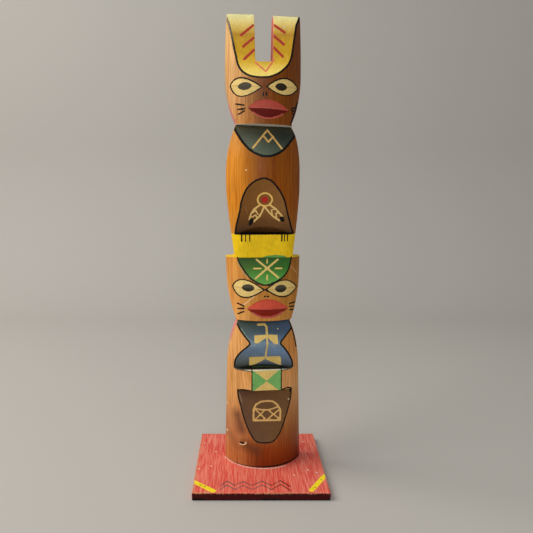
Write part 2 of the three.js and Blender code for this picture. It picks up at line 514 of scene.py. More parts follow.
    def cut_depth(self, x: Array, row: Array) -> Array:
        """Depth that the straight cuts leave.

        Args:
            x: distance to the right of the centre line.
            row: height on the level rows.

        Returns:
            One depth for each point, far outside the wood where there is no cut.
        """
        deep = np.full(len(row), self.NO_CUT)
        for cut in self.cuts:
            near = (row >= cut.bottom - 0.001) & (row <= cut.top + 0.001)
            deep[near] = cut.deep(x[near], row[near])
        for under, over in self.ledges:
            end = over.bottom if over else under.top + self.thin_ledge
            near = (row > under.top) & (row < end)
            t = (row[near] - under.top) / (end - under.top)
            upper = over.deep(x[near], end) if over else 0
            deep[near] = under.deep(x[near], under.top) * (1 - t) + upper * t
        return deep

    def depth(self, x: Array, row: Array) -> Array:
        """Depth of the whole carved front behind its front-most line.

        Args:
            x: distance to the right of the centre line.
            row: height on the level rows.

        Returns:
            One depth for each point.
        """
        arc = self.section.arc_depth(x)
        cut = self.cut_depth(x, row)
        on_brow = (row > self.forehead.top) & (row < self.band.top)
        soft = np.where(on_brow, self.brow_blend, self.blend)
        deep = np.maximum(arc, cut) + np.clip(soft - np.abs(arc - cut), 0, None) ** 2 / (4 * soft)
        points = np.column_stack((x, self.shifted(x, row)))
        for lens in (*self.mouths, *self.eyes):
            (x0, z0), (x1, _) = lens.left, lens.right
            near = (x > x0) & (x < x1) & (np.abs(points[:, 1] - z0) < self.lens_reach)
            deep[near] += lens.carved(points[near])
        for tuck in self.tucks:
            near = (row >= tuck.foot) & (row < tuck.foot + self.tuck_reach)
            deep[near] += tuck.carved(np.column_stack((x[near], row[near])))
        return deep


def refined(
    points: Array, triangles: Array, fine: Near, size: float, rounds: int = 4
) -> tuple[Array, Array]:
    """Halve the long edges of a flat mesh wherever it has to be fine, and nowhere on its border.

    Args:
        points: the mesh's points.
        triangles: its triangles, as rows of three indices.
        fine: tells for an array of points which ones lie where the mesh has to be fine.
        size: the longest edge that is left there.
        rounds: how often an edge may be halved.

    Returns:
        The new points and triangles.
    """
    for _ in range(rounds):
        count = len(points)
        ends = np.sort(triangles[:, [[0, 1], [1, 2], [2, 0]]].reshape(-1, 2), axis=1)
        keys, first, which, uses = np.unique(
            ends[:, 0].astype(np.int64) * count + ends[:, 1],
            return_index=True,
            return_inverse=True,
            return_counts=True,
        )
        pair = ends[first]
        length = np.hypot(*(points[pair[:, 0]] - points[pair[:, 1]]).T)
        middle = points[pair].mean(axis=1)
        split = (uses == 2) & (length > size)
        split[split] = fine(middle[split])
        if not split.any():
            break
        new = np.full(len(keys), -1)
        new[split] = count + np.arange(split.sum())
        points = np.vstack((points, middle[split]))
        mid = new[which].reshape(-1, 3)
        marks = mid >= 0
        total = marks.sum(axis=1)
        pieces = [triangles[total == 0]]
        for number in (1, 2, 3):
            chosen = total == number
            mark = marks[chosen]
            turn = mark.argmax(axis=1) if number == 1 else (mark.argmin(axis=1) + 1) % 3
            order = (turn[:, None] + np.arange(3)) % 3
            a, b, c = np.take_along_axis(triangles[chosen], order, axis=1).T
            ab, bc, ca = np.take_along_axis(mid[chosen], order, axis=1).T
            made = {
                1: ((a, ab, c), (ab, b, c)),
                2: ((ab, b, bc), (a, ab, bc), (a, bc, c)),
                3: ((a, ab, ca), (ab, b, bc), (ca, bc, c), (ab, bc, ca)),
            }[number]
            pieces += [np.column_stack(corners) for corners in made]
        triangles = np.vstack(pieces)
    return points, triangles


def border(triangles: Array) -> Array:
    """The points round a sheet's border, in order, with the sheet on their left.

    Args:
        triangles: the sheet's triangles, each turning to the left.

    Returns:
        The indices of the border's points.
    """
    ends = triangles[:, [[0, 1], [1, 2], [2, 0]]].reshape(-1, 2)
    size = int(ends.max()) + 1
    there, back = ends[:, 0] * size + ends[:, 1], ends[:, 1] * size + ends[:, 0]
    lone = ends[~np.isin(there, back)]
    following = dict(lone.tolist())
    loop = [int(lone[0, 0])]
    while following[loop[-1]] != loop[0]:
        loop.append(following[loop[-1]])
    return np.array(loop)


def stitched(before: Array, after: Array) -> Array:
    """Join two closed rings with as many points each.

    Args:
        before: the points of the first ring.
        after: the points of the second ring.

    Returns:
        The triangles between them.
    """
    ahead = np.roll(before, -1)
    first = np.column_stack((ahead, before, after))
    return np.vstack((first, np.column_stack((ahead, after, np.roll(after, -1)))))


def filled(rim: Array, spacing: float, clear: float) -> tuple[Array, Array]:
    """A flat sheet of triangles inside a rim.

    Args:
        rim: points round the sheet, turning to the left.
        spacing: distance between the inner points.
        clear: how far the inner points stay from the rim.

    Returns:
        The rim's points followed by the inner ones, and triangles that turn to the left.
    """
    ends = zip(rim.min(axis=0), rim.max(axis=0))
    spans = [np.arange(low + spacing / 2, high, spacing) for low, high in ends]
    inner = np.stack(np.meshgrid(*spans), axis=-1).reshape(-1, 2)
    inner = inner[inside_by(rim, inner) > clear]
    points = np.vstack((rim, inner))
    edges = [(i, (i + 1) % len(rim)) for i in range(len(rim))]
    made = delaunay_2d_cdt([Vector(p) for p in points], edges, [], 1, 1e-7)
    origin = np.array([known[0] for known in made[3]])
    triangles = origin[np.array([list(face) for face in made[2]])]
    a, b, c = points[triangles].transpose(1, 0, 2)
    wrong = (b - a)[:, 0] * (c - a)[:, 1] < (b - a)[:, 1] * (c - a)[:, 0]
    triangles[wrong] = triangles[wrong][:, ::-1]
    return points, triangles


def walled(faces: Array, loop: Array, count: int, rings: list[Array], cap: Array) -> Array:
    """Close a sheet with a wall of rings along its border and a flat cap inside the last ring.

    Args:
        faces: the sheet's triangles.
        loop: the points of its border.
        count: how many points the sheet has.
        rings: the wall's rings, with as many points each as the border.
        cap: the cap's triangles, whose first points are the last ring's.

    Returns:
        The closed mesh's triangles, over the sheet's points, the rings' and the cap's inner ones.
    """
    each, before = len(loop), loop
    for number in range(len(rings)):
        after = count + number * each + np.arange(each)
        faces = np.vstack((faces, stitched(before, after)))
        before = after
    inner = count + len(rings) * each + np.arange(cap.max() + 1 - each)
    return np.vstack((faces, np.concatenate((before, inner))[cap][:, ::-1]))


class Carving:
    """The carved pole as one closed mesh: a fine front, sawn sides and a flat back."""

    STEP = 1.1
    FINE = 0.5
    WALL_SPANS = 6
    SIDE_COLUMNS = 27
    SLOT_COLUMNS = 12
    BACK_SPACING = 6.0
    BACK_CLEAR = 1.5

    def __init__(self, form: Form) -> None:
        """Keep the form."""
        self.form = form

    def rows(self) -> Array:
        """Heights of the level rows, close together where the depth jumps.

        Returns:
            The heights, rising.
        """
        form = self.form
        panels = (form.pocket, form.forehead, form.collar, form.ears)
        plain = [
            *(cut.bottom for cut in panels),
            form.belly.top,
            form.foot + form.worn_edge,
            form.slot_foot - form.worn_edge,
            form.slot_foot + form.slot_corner,
            form.head - form.worn_edge,
        ]
        # each ledge's low end, with its high end and how many rows it is cut into
        jumps = {
            form.pocket.top: (form.square.bottom, 8),
            form.square.top: (form.hourglass.bottom, 11),
            form.hourglass.top: (form.hourglass.top + form.thin_ledge, 13),
            form.forehead.top: (form.band.bottom, 8),
            form.band.top: (form.belly.bottom, 6),
            form.collar.top: (form.collar.top + form.thin_ledge, 14),
        }
        marks = sorted([*plain, *jumps, *(end for end, _ in jumps.values())])
        heights = [np.array(marks[:1])]
        for low, high in zip(marks[:-1], marks[1:]):
            spans = jumps[low][1] if low in jumps else math.ceil((high - low) / self.STEP)
            heights.append(np.linspace(low, high, spans + 1)[1:])
        return np.concatenate(heights)

    def slot_side(self, side: int, row: Array) -> Array:
        """Where a side of the ear slot is, carried on below it as a guide.

        Args:
            side: 0 for the left side, 1 for the right.
            row: heights on the level rows.

        Returns:
            One x for each height.
        """
        form = self.form
        ends = (form.slot_at_foot[side], form.slot_at_top[side])
        straight = np.interp(row, (form.slot_foot, Stance.height), ends)
        r = form.slot_corner
        up = np.clip(form.slot_foot + r - row, 0, r)
        corner = r - np.sqrt(r * r - up * up)
        corner = np.where(row < form.slot_foot, r * eased(1 - (form.slot_foot - row) / 6), corner)
        inward = 1 if side == 0 else -1
        return straight + inward * (corner - form.worn_edge)

    def sheet(self) -> tuple[Array, Array]:
        """The front as a flat sheet of triangles, before it is made fine.

        Returns:
            Points (x, row) and triangles.
        """
        form, rows = self.form, self.rows()
        radius = form.section.arc_radius
        half = form.half(rows) - form.worn_edge
        left, right = self.slot_side(0, rows), self.slot_side(1, rows)
        side_count, middle_count = self.SIDE_COLUMNS, self.SLOT_COLUMNS
        share = np.linspace(0, 1, side_count + 1)[:-1]
        outer = np.arcsin(half / radius)
        inner_left, inner_right = np.arcsin(-left / radius), np.arcsin(right / radius)
        lefts = -radius * np.sin(outer[:, None] + share * (inner_left - outer)[:, None])
        rights = radius * np.sin(outer[:, None] + share * (inner_right - outer)[:, None])[:, ::-1]
        across = np.linspace(0, 1, middle_count + 1)
        middles = left[:, None] + across * (right - left)[:, None]
        x = np.hstack((lefts, middles, rights))
        columns = x.shape[1]
        points = np.column_stack((x.ravel(), np.repeat(rows, columns)))
        corner = np.arange(len(points)).reshape(x.shape)
        a, b = corner[:-1, :-1], corner[:-1, 1:]
        d, c = corner[1:, :-1], corner[1:, 1:]
        column = np.arange(columns - 1)
        in_slot = (column >= side_count) & (column < side_count + middle_count)
        above = rows[:-1] > form.slot_foot - form.worn_edge - 0.01
        keep = ~(above[:, None] & in_slot[None, :])
        a, b, c, d = (corners[keep] for corners in (a, b, c, d))
        even = (a + a // columns) % 2 == 0
        first = np.where(even[:, None], np.column_stack((a, b, c)), np.column_stack((a, b, d)))
        second = np.where(even[:, None], np.column_stack((a, c, d)), np.column_stack((b, c, d)))
        triangles = np.vstack((first, second))
        used, packed = np.unique(triangles, return_inverse=True)
        return points[used], packed.reshape(-1, 3)

    def solid(self, fine: Near) -> tuple[Array, Array, Array, Array]:
        """The closed mesh in the pole's own frame.

        Args:
            fine: tells which points (x, z) of the front need a fine mesh.

        Returns:
            Points (x, y, z), triangles, the front's share of the points as True, and each
            point's row height.
        """
        form = self.form
        section, worn = form.section, form.worn_edge
        flat, faces = refined(*self.sheet(), fine, self.FINE)
        x, row = flat.T
        y = section.front + form.depth(x, row)
        loop = border(faces)
        rim = flat[loop]
        ahead = np.roll(rim, -1, axis=0) - rim
        out = np.column_stack((ahead[:, 1], -ahead[:, 0]))
        out /= np.linalg.norm(out, axis=1)[:, None] + 1e-12
        out = out + np.roll(out, 1, axis=0)
        out /= np.linalg.norm(out, axis=1)[:, None] + 1e-12
        full = rim + out * worn
        # the front's worn edge is a little deeper than it is wide
        start, end = y[loop] + worn * 1.2, section.back - worn
        shares = np.linspace(0, 1, self.WALL_SPANS + 1)
        rings = [np.column_stack((full, start + (end - start) * share)) for share in shares]
        rings.append(np.column_stack((rim, np.full(len(loop), section.back))))
        cap, cap_faces = filled(rim, self.BACK_SPACING, self.BACK_CLEAR)
        count, inner = len(flat), cap[len(rim) :]
        faces = walled(faces, loop, count, rings, cap_faces)
        wall = np.vstack(rings)
        x = np.concatenate((x, wall[:, 0], inner[:, 0]))
        row = np.concatenate((row, wall[:, 1], inner[:, 1]))
        y = np.concatenate((y, wall[:, 2], np.full(len(inner), section.back)))
        own = np.column_stack((x, y, form.shifted(x, row)))
        is_front = np.arange(len(own)) < count
        return own, faces, is_front, row


# ------------------------------------------------------------------ paint


class Layer(Enum):
    """A layer of paint, from the lowest up, named as the mesh attributes that hold it."""

    STAIN = "stain"
    COAT = "coat"
    DETAIL = "detail"
    LINE = "line"


Shades = str | tuple[tuple[float, str], ...]
Fields = dict[Layer, tuple[Array, Array]]


def shaded(shades: Shades, height: Array) -> Array:
    """The colour of a coat that is one colour, or several by height.

    Args:
        shades: one hex value, or several with their heights.
        height: where the colour is wanted.

    Returns:
        One linear colour for each height.
    """
    if isinstance(shades, str):
        return np.tile(linear(shades), (len(height), 1))
    levels = [level for level, _ in shades]
    colours = np.array([linear(shade) for _, shade in shades])
    return np.column_stack([np.interp(height, levels, part) for part in colours.T])


@dataclass(frozen=True)
class Mark:
    """A stroke along a line (x, z), or a filled patch where it has no width.

    Its colour is one hex value, or several given with their heights. Where it has a second
    colour, it turns to that from left to right, over the middle of the pole.
    """

    TURN = 16.0

    layer: Layer
    colour: Shades
    line: Points
    width: float = 0.0
    grow: float = 0.0
    rightward: Shades = ""

    def inside(self, points: Array) -> Array:
        """How far each point is inside the paint.

        Args:
            points: the points (x, z) to measure.

        Returns:
            One distance for each point, negative outside the paint.
        """
        line = np.array(self.line)
        if self.width:
            return self.width / 2 - distance_to(line, points)
        return inside_by(line, points) + self.grow

    def colours(self, points: Array) -> Array:
        """The colour of the paint.

        Args:
            points: the points (x, z) to colour.

        Returns:
            One linear colour for each point.
        """
        left = shaded(self.colour, points[:, 1])
        if not self.rightward:
            return left
        across = eased((points[:, :1] + self.TURN) / (2 * self.TURN))
        return left * (1 - across) + shaded(self.rightward, points[:, 1]) * across


def oval(x: float, z: float, half_width: float, half_height: float) -> Points:
    """The outline of an oval patch with slightly pointed ends.

    Args:
        x: its middle.
        z: the height of its middle.
        half_width: half its width.
        half_height: half its height.

    Returns:
        The corners of the outline.
    """
    turns = np.linspace(0, 2 * math.pi, 24, endpoint=False)
    cos, sin = np.cos(turns), np.sin(turns)
    rounded = np.sign(sin) * np.abs(sin) ** 1.15
    return tuple(zip(x + half_width * cos, z + half_height * rounded))


class Brushwork:
    """Painted strokes and patches on a face, the lowest first."""

    # distance inside a layer where there is none of it
    ABSENT = -8.0
    # past this distance, a later mark's colour shows at its ragged edge
    EDGE = -0.15
    # size of the face that can be painted, and where its middle and foot are in that
    FACE = (110, 430)
    ORIGIN = (55, 55)
    black = "#060504"

    def __init__(self) -> None:
        """Start with no marks."""
        self.marks: list[Mark] = []

    def stroke(self, layer: Layer, colour: Shades, width: float, *lines: Points) -> None:
        """Add strokes of one width.

        Args:
            layer: the layer that they are in.
            colour: their colour.
            width: their width.
            lines: the middle line of each.
        """
        self.marks += [Mark(layer, colour, tuple(map(tuple, line)), width) for line in lines]

    def ink(self, width: float, *lines: Points) -> None:
        """Add black lines of one width."""
        self.stroke(Layer.LINE, self.black, width, *lines)

    def draw(self, colour: Shades, width: float, *lines: Points) -> None:
        """Add coloured lines of one width."""
        self.stroke(Layer.DETAIL, colour, width, *lines)

    def patch(
        self,
        layer: Layer,
        colour: Shades,
        *outlines: Points,
        grow: float = 0,
        rightward: Shades = "",
    ) -> None:
        """Add filled patches.

        Args:
            layer: the layer that they are in.
            colour: their colour.
            outlines: the outline of each.
            grow: how far the paint runs over the outline.
            rightward: the colour that they turn to on the right.
        """
        for outline in outlines:
            line = tuple(map(tuple, outline))
            self.marks.append(Mark(layer, colour, line, grow=grow, rightward=rightward))

    def fine(self, reach: float = 0.6, cell: float = 0.3) -> Near:
        """A test for where the front has to be finely meshed: along every line of paint.

        Args:
            reach: how far from a line the mesh is fine.
            cell: size of the cells that the lines are noted in.

        Returns:
            A function that takes points (x, z) and tells which are near a line.
        """
        near = np.zeros([int(side / cell) for side in self.FACE], bool)

        def cells(points: Array) -> tuple[Array, Array]:
            """The cell of each point."""
            i, j = ((points + self.ORIGIN) / cell).astype(int).T
            return np.clip(i, 0, near.shape[0] - 1), np.clip(j, 0, near.shape[1] - 1)

        for mark in self.marks:
            line = np.array(mark.line)
            if not mark.width:
                line = np.vstack((line, line[:1]))
            for a, b in zip(line[:-1], line[1:]):
                count = max(2, int(np.hypot(*(b - a)) / cell) + 1)
                near[cells(a + (b - a) * np.linspace(0, 1, count)[:, None])] = True
        for _ in range(round(reach / cell)):
            grown = near.copy()
            for axis in (0, 1):
                grown |= np.roll(near, 1, axis) | np.roll(near, -1, axis)
            near = grown
        return lambda points: near[cells(points)]

    def laid(self, points: Array, faced: Array) -> Fields:
        """How far each point of the mesh is inside each layer of paint, and its colour there.

        Args:
            points: the mesh's points, as seen flat on the painted face.
            faced: which of them are on that face.

        Returns:
            By layer, the distance inside the paint and the colour, for every point.
        """
        count, grey = len(points), linear("#808080")
        fields = {
            layer: (np.full(count, self.ABSENT), np.tile(grey, (count, 1))) for layer in Layer
        }
        for mark in self.marks:
            line = np.array(mark.line)
            low, high = line.min(axis=0) + self.ABSENT, line.max(axis=0) - self.ABSENT
            near = np.flatnonzero(faced & ((points > low) & (points < high)).all(axis=1))
            depth, colour = fields[mark.layer]
            inside = mark.inside(points[near])
            over = (inside > self.EDGE) | (inside > depth[near])
            colour[near[over]] = mark.colours(points[near[over]])
            depth[near] = np.maximum(depth[near], inside)
        return fields


@dataclass
class PolePaint(Brushwork):
    """Every painted line and patch on the pole, by hand with small brushes."""

    # how far the blue runs on under the ledge above the square
    UNDERCUT = 0.859
    # heights between which the sawn sides are painted
    BAND_SIDE = (174.7, 192.7)
    LEDGE_FOOT = 174.4
    CREAM_SIDE = (250, 273)
    PINK_SIDES = ((275, 291), (107, 124))
    # height of the hollow above the sill, painted dark as shadow over a sill painted pale as
    # highlight, and a depth that covers a surface wholly
    HOLLOW = 0.12
    COVERED = 2.0

    form: Form
    gold: str = "#e6c470"

    def __post_init__(self) -> None:
        """Lay out all the marks, the lowest first."""
        super().__init__()
        for lay in (
            self.panels, self.panel_lines, self.eyes, self.lips, self.whiskers,
            self.ear_marks, self.collar_marks, self.belly_marks, self.forehead_marks,
            self.hourglass_marks, self.square_marks, self.pocket_marks, self.wear,
        ):
            lay()

    def coats(self) -> tuple[tuple[Cut, Shades, Shades, float], ...]:
        """What is painted on the panel cuts, with painted light and shade in the colours.

        Returns:
            Each cut, its colours on the left and on the right, and its black edge's width.
        """
        form = self.form
        # painted shade: the pocket is darker at its top, under the ledge above it
        pocket = ((27, "#684a34"), (45, "#664730"), (60, "#6a482e"), (69, "#5a3a24"))
        # painted shade: the belly is darkest at its foot, in the hollow under it
        belly = ((193, "#432810"), (198, "#5e3a18"), (212, "#7a4c18"), (235, "#845622"))
        belly_right = ((193, "#52331a"), (198, "#6c4620"), (212, "#8a5e2e"), (235, "#8a5c28"))
        forehead = ((154, "#6aa84e"), (161, "#54903e"), (167, "#44692a"), (174.6, "#2e4e1a"))
        forehead_right = ((154, "#6aa84e"), (161, "#488c36"), (167, "#2e681c"), (174.6, "#2c5e18"))
        # painted shade: the collar is darker towards its top, under the chin
        collar = ((252, "#66735f"), (262, "#5c6454"), (269, "#4e5042"), (274, "#565038"))
        # painted shade: the collar's right side, away from the lamp, is darker again
        collar_right = ((252, "#4c5648"), (262, "#323a30"), (269, "#2a2e26"), (274, "#444230"))
        # painted light and shade: the ears are paler at their foot and tips, which face up to the
        # light, and darker in a band between
        ears = (
            (308, "#f6de7c"), (314, "#f2d464"), (320, "#e2b636"), (328, "#cfa01c"),
            (337, "#cfa028"), (340.5, "#c08e2e"), (343, "#d8b04a"), (349, "#ead07c"),
            (357, "#ecebae"),
        )
        # painted shade: the hourglass is darkest at its foot, in the hollow, and darker again at
        # its top, under the chin
        hourglass = (
            (86, "#26241a"), (89, "#4a5350"), (94, "#6a767a"), (101, "#6a86a2"),
            (107, "#849cb0"), (110, "#5e7280"), (116, "#4c5e60"), (125, "#424e40"),
        )
        hourglass_right = (
            (86, "#26241a"), (89, "#566270"), (94, "#6a7c92"), (101, "#7492b4"),
            (107, "#849cb0"), (110, "#566c84"), (116, "#465a72"), (125, "#3e4e64"),
        )
        return (
            (form.pocket, pocket, "#6e4d28", 1.05),
            (form.belly, belly, belly_right, 1.4),
            (form.forehead, forehead, forehead_right, 1.2),
            (form.collar, collar, collar_right, 1.8),
            (form.ears, ears, "", 1.5),
            (form.hourglass, hourglass, hourglass_right, 1.3),
        )

    def edges(self, cut: Cut) -> tuple[Array, Array]:
        """The left and the right edge of a panel cut, each from its bottom up."""
        return cut.edge(self.form.section, -1), cut.edge(self.form.section, 1)

    def panels(self) -> None:
        """The coats of the flat panels."""
        form, coat = self.form, Layer.COAT
        for cut, shades, rightward, _ in self.coats():
            left, right = self.edges(cut)
            closed = np.vstack((left[::-1], right))
            if cut is form.ears:
                closed = np.vstack(([(-40, 362)], closed, [(40, 362)]))
            elif cut is form.hourglass:
                under = np.array((left[0], right[0])) - (0, self.UNDERCUT)
                closed = np.vstack((left[::-1], under, right))
            elif cut is form.collar:
                closed = np.vstack(([(-22, 275.2)], closed, [(22, 273.8)]))
            self.patch(coat, shades, closed, rightward=rightward)
        for shade, left, right, low, high in (
            ("#78b464", -9.5, 13.3, form.square.bottom, form.square.top),
            ("#eec511", -40, 40, form.forehead.top, form.band.top),
        ):
            corners = ((left, low), (right, low), (right, high), (left, high))
            self.patch(coat, shade, corners, grow=0.1)

    def panel_lines(self) -> None:
        """The black line along each panel's edge, and other lines of the same brush."""
        form = self.form
        for cut, _, _, width in self.coats():
            left, right = self.edges(cut)
            if cut is form.hourglass:
                self.ink(width, left[3:], right[3:])
            elif cut is form.ears:
                faded = ((332, self.black), (340, "#5a564a"), (358, "#8d866e"))
                self.stroke(Layer.LINE, faded, width, left)
                self.ink(width, np.vstack((left[:1], right)))
            else:
                self.ink(width, np.vstack((left[::-1], right[1:])))
        shoulder = ((13.6, 69.6), (18.5, 70.4), (21.4, 69.4), (21.2, 66))
        self.ink(1.2, ((-21, 68.4), (-16.5, 69.6), (-9.8, 69.4)), shoulder)
        self.ink(0.9, ((-9.8, 69.4), (-9.8, 85.7)), ((13.5, 69.6), (13.5, 85.7)))
        top = form.band.top
        ticks = {1.2: (-17.3, 13.6), 0.8: (-14.3, 15.7), 0.9: (-11.1, 18)}
        for width, places in ticks.items():
            self.ink(width, *(((x, top), (x, top - 5.3)) for x in places))
        for low, high in ((275.5, 292), (102, 123)):
            z = np.linspace(low, high, 14)
            self.ink(1.3, np.column_stack((form.half(z) - 0.7, z)))

    def eyes(self) -> None:
        """Cream eyes with a darker lower facet, dark pupils and black outlines."""
        for lens in self.form.eyes:
            outline = lens.outline()
            self.patch(Layer.COAT, "#e8c87c", outline)
            self.draw("#b98f4c", 0.4, (lens.left, lens.right))
            self.ink(1.0, np.vstack((outline, outline[:1])))
        greyer = "#3e3c33"
        self.patch(Layer.DETAIL, greyer, oval(-14.7, 302.2, 5, 2.85))
        self.patch(Layer.DETAIL, "#040404", oval(12.3, 301.6, 4.6, 2.8))
        self.patch(Layer.DETAIL, "#0c0c0d", oval(11.6, 301.9, 2.4, 1.2))
        # on the lower face's pupils, the grey upper half is painted sheen over the black
        self.patch(Layer.DETAIL, ((151, "#15161a"), (152, greyer)), oval(-12.6, 151.5, 4.7, 2.9))
        self.patch(Layer.DETAIL, ((150.1, "#121316"), (151.2, greyer)), oval(12.7, 150.7, 4.8, 3))
        self.ink(0.9, ((-3, 152), (3, 148.7)), ((-3, 148.8), (3, 151.9)))

    def lips(self) -> None:
        """Red lips, the lower painted darker as shade, with a pinker rim below, partly painted
        highlight.
        """
        # the lower lip's darker red is painted shade on its facet that faces down
        shades = (("#b44a3b", "#661208"), ("#d4523c", "#8a200f"))
        for lens, (upper, lower) in zip(self.form.mouths, shades):
            outline = lens.outline()
            half = len(outline) // 2
            self.patch(Layer.COAT, lower, outline, grow=0.3)
            self.patch(Layer.COAT, upper, outline[: half + 1], grow=0.05)
            # the pinker rim under the lower lip: partly lip paint run over the chin, partly
            # painted highlight
            self.draw("#b8544a", 1.3, outline[half + 3 : -2])
            # a pale line along the ridge: partly worn paint, partly painted highlight
            self.draw("#c46a5e", 0.3, (lens.left, lens.right))

    def whiskers(self) -> None:
        """Nostrils and the three short strokes on each cheek."""
        self.ink(1.1, ((-1.3, 297), (-1.3, 294.5)), ((1.1, 297), (1.1, 294.9)))
        for x in (0.1, 2.5):
            self.ink(1.5, ((x, 145.1), (x + 0.3, 145.1)))
        self.ink(
            1.15,
            ((-21.2, 289.9), (-15.5, 288.5)), ((20.4, 286.5), (24.3, 288.2)),
            ((-19.8, 285.7), (-14.7, 286)), ((20.8, 285.1), (23.9, 285.5)),
            ((-19.5, 282.1), (-15.1, 284.2)), ((20.9, 283.6), (23.5, 282.2)),
            ((-20.8, 138.8), (-15.9, 137.1)), ((20, 138.2), (25.5, 138.7)),
            ((-20.4, 134.5), (-15.9, 135.1)), ((20, 135.8), (24.1, 135.4)),
            ((-20.4, 130.5), (-15.9, 132.7)), ((20.5, 133.3), (24.1, 132.6)),
        )

    def ear_marks(self) -> None:
        """Red dashes on both ears and the pink V below the gap."""
        self.draw(
            "#b2322a", 2.0,
            ((-8, 347.3), (-16.9, 339.9)), ((7.5, 347.8), (15.5, 342.2)),
            ((-7.8, 337.9), (-15.5, 331.4)), ((7.3, 339.6), (14.7, 333.3)),
            ((-7.5, 329), (-14.8, 322.1)), ((7.2, 331), (13.8, 324.3)),
        )
        notch = ((-6.7, 319.9), (0.8, 312.6), (5.5, 319), (7.3, 322))
        self.draw("#e0685c", 1.1, notch)

    def collar_marks(self) -> None:
        """A gold chevron with a small V inside its peak."""
        peak = ((-8.8, 257.3), (2.7, 271.4), (13.3, 256.6))
        self.draw("#dcb166", 1.3, peak, ((-0.2, 266.6), (3, 262), (7, 266.3)))

    def belly_marks(self) -> None:
        """A ring round a red dot, and two feathers with black tips."""
        ring = oval(0.4, 219, 5.6, 4.9)
        self.draw("#f2c468", 1.25, (*ring, ring[0]))
        self.patch(Layer.DETAIL, "#b8241a", oval(0.3, 218.9, 2.6, 2.5))
        quill = "#ecc47a"
        self.draw(
            quill, 1.25,
            ((-3.4, 214.9), (-8, 211.5), (-10.2, 208.1), (-11.3, 203.9)),
            ((-0.3, 213.4), (-1.8, 209.6), (-3.3, 206.6), (-7.9, 202.3)),
            ((4.2, 214.9), (8.9, 211.9), (14, 206.1)),
            ((0.4, 213.4), (3.5, 209.6), (7.4, 205.8), (11.8, 203.1)),
        )
        self.draw(
            quill, 0.9,
            ((-9.8, 208.5), (-6.4, 210.8), (-4.9, 208.1)),
            ((-9.4, 205.8), (-6.4, 207.3), (-5.6, 205.4)),
            ((8.1, 211.9), (5.4, 211.1), (6.3, 207.7)),
            ((11.2, 209.2), (8.9, 208.4), (9.4, 205.8)),
        )
        left_tip = (
            (-10.9, 204.3), (-8.2, 204.3), (-8.1, 201.9),
            (-10.5, 198.9), (-11.9, 199.6), (-11.6, 202.7),
        )
        right_tip = ((11.9, 205.9), (14.8, 206.1), (16, 202.3), (13.3, 202), (11.8, 204.2))
        self.patch(Layer.LINE, self.black, left_tip, right_tip)

    def forehead_marks(self) -> None:
        """A gold cross with four ticks between its arms."""
        falling, rising = ((-5.9, 173), (10.7, 159.4)), ((10.8, 172.9), (-7, 158.8))
        self.draw(self.gold, 1.4, falling, rising)
        self.draw(
            self.gold, 1.1,
            ((2.5, 173), (2.4, 170.3)),
            ((2.1, 161), (2, 157.7)),
            ((-8, 166.2), (-2.6, 166.2)),
            ((8.7, 166.1), (13.7, 166.1)),
        )

    def hourglass_marks(self) -> None:
        """A hooked stem with two pairs of wings."""
        stem = ((-4.6, 121.3), (0.6, 121.3), (2.2, 119.2), (2.1, 112))
        self.draw(self.gold, 1.7, stem)
        self.draw(self.gold, 1.3, ((2.1, 111.5), (2.4, 107), (1.3, 95)))
        self.patch(
            Layer.DETAIL,
            self.gold,
            ((-7.8, 113.5), (1.4, 113.9), (1.4, 111.6), (-5.3, 107.6), (-7.8, 107.9)),
            ((2.7, 113.9), (10.4, 113.7), (10.8, 106.7), (8.3, 106.7), (3.4, 111.1)),
            ((-11.5, 95.1), (0.7, 95.4), (0.7, 92.7), (-8.9, 87.5), (-11.5, 87.6)),
            ((1.2, 95.4), (12.9, 95.6), (13.8, 93.8), (14, 88), (12.3, 88), (1.7, 92.7)),
        )

    def square_marks(self) -> None:
        """Cream triangles above and below, which leave the green at both sides."""
        self.patch(
            Layer.DETAIL,
            "#e9c674",
            ((-8.6, 85.8), (11.6, 85.8), (1.8, 77.5)),
            ((-8.6, 69.4), (11.6, 69.4), (1.8, 77)),
        )

    def pocket_marks(self) -> None:
        """A tan arch over two crosses on a base line."""
        tan = "#deb06a"
        self.draw(
            tan, 1.4,
            ((-8.5, 44.1), (12.8, 43.9)),
            ((-8.5, 44.1), (-8.4, 53), (-6.4, 56.5), (-2.3, 58.6), (2.5, 59)),
            ((2.5, 59), (7.3, 58.5), (10.9, 55.8), (13.2, 51.9), (12.8, 43.9)),
        )
        self.draw(
            tan, 1.0,
            ((-7.2, 53.4), (-1.6, 52.2), (3.2, 52.1), (8, 53.1), (12.1, 54.6)),
            ((-6.4, 52.2), (0.7, 45.4)),
            ((0.8, 52.1), (-6.5, 45.4)),
            ((3.2, 52.1), (11.9, 45.2)),
            ((12, 51.9), (3.1, 45.2)),
        )

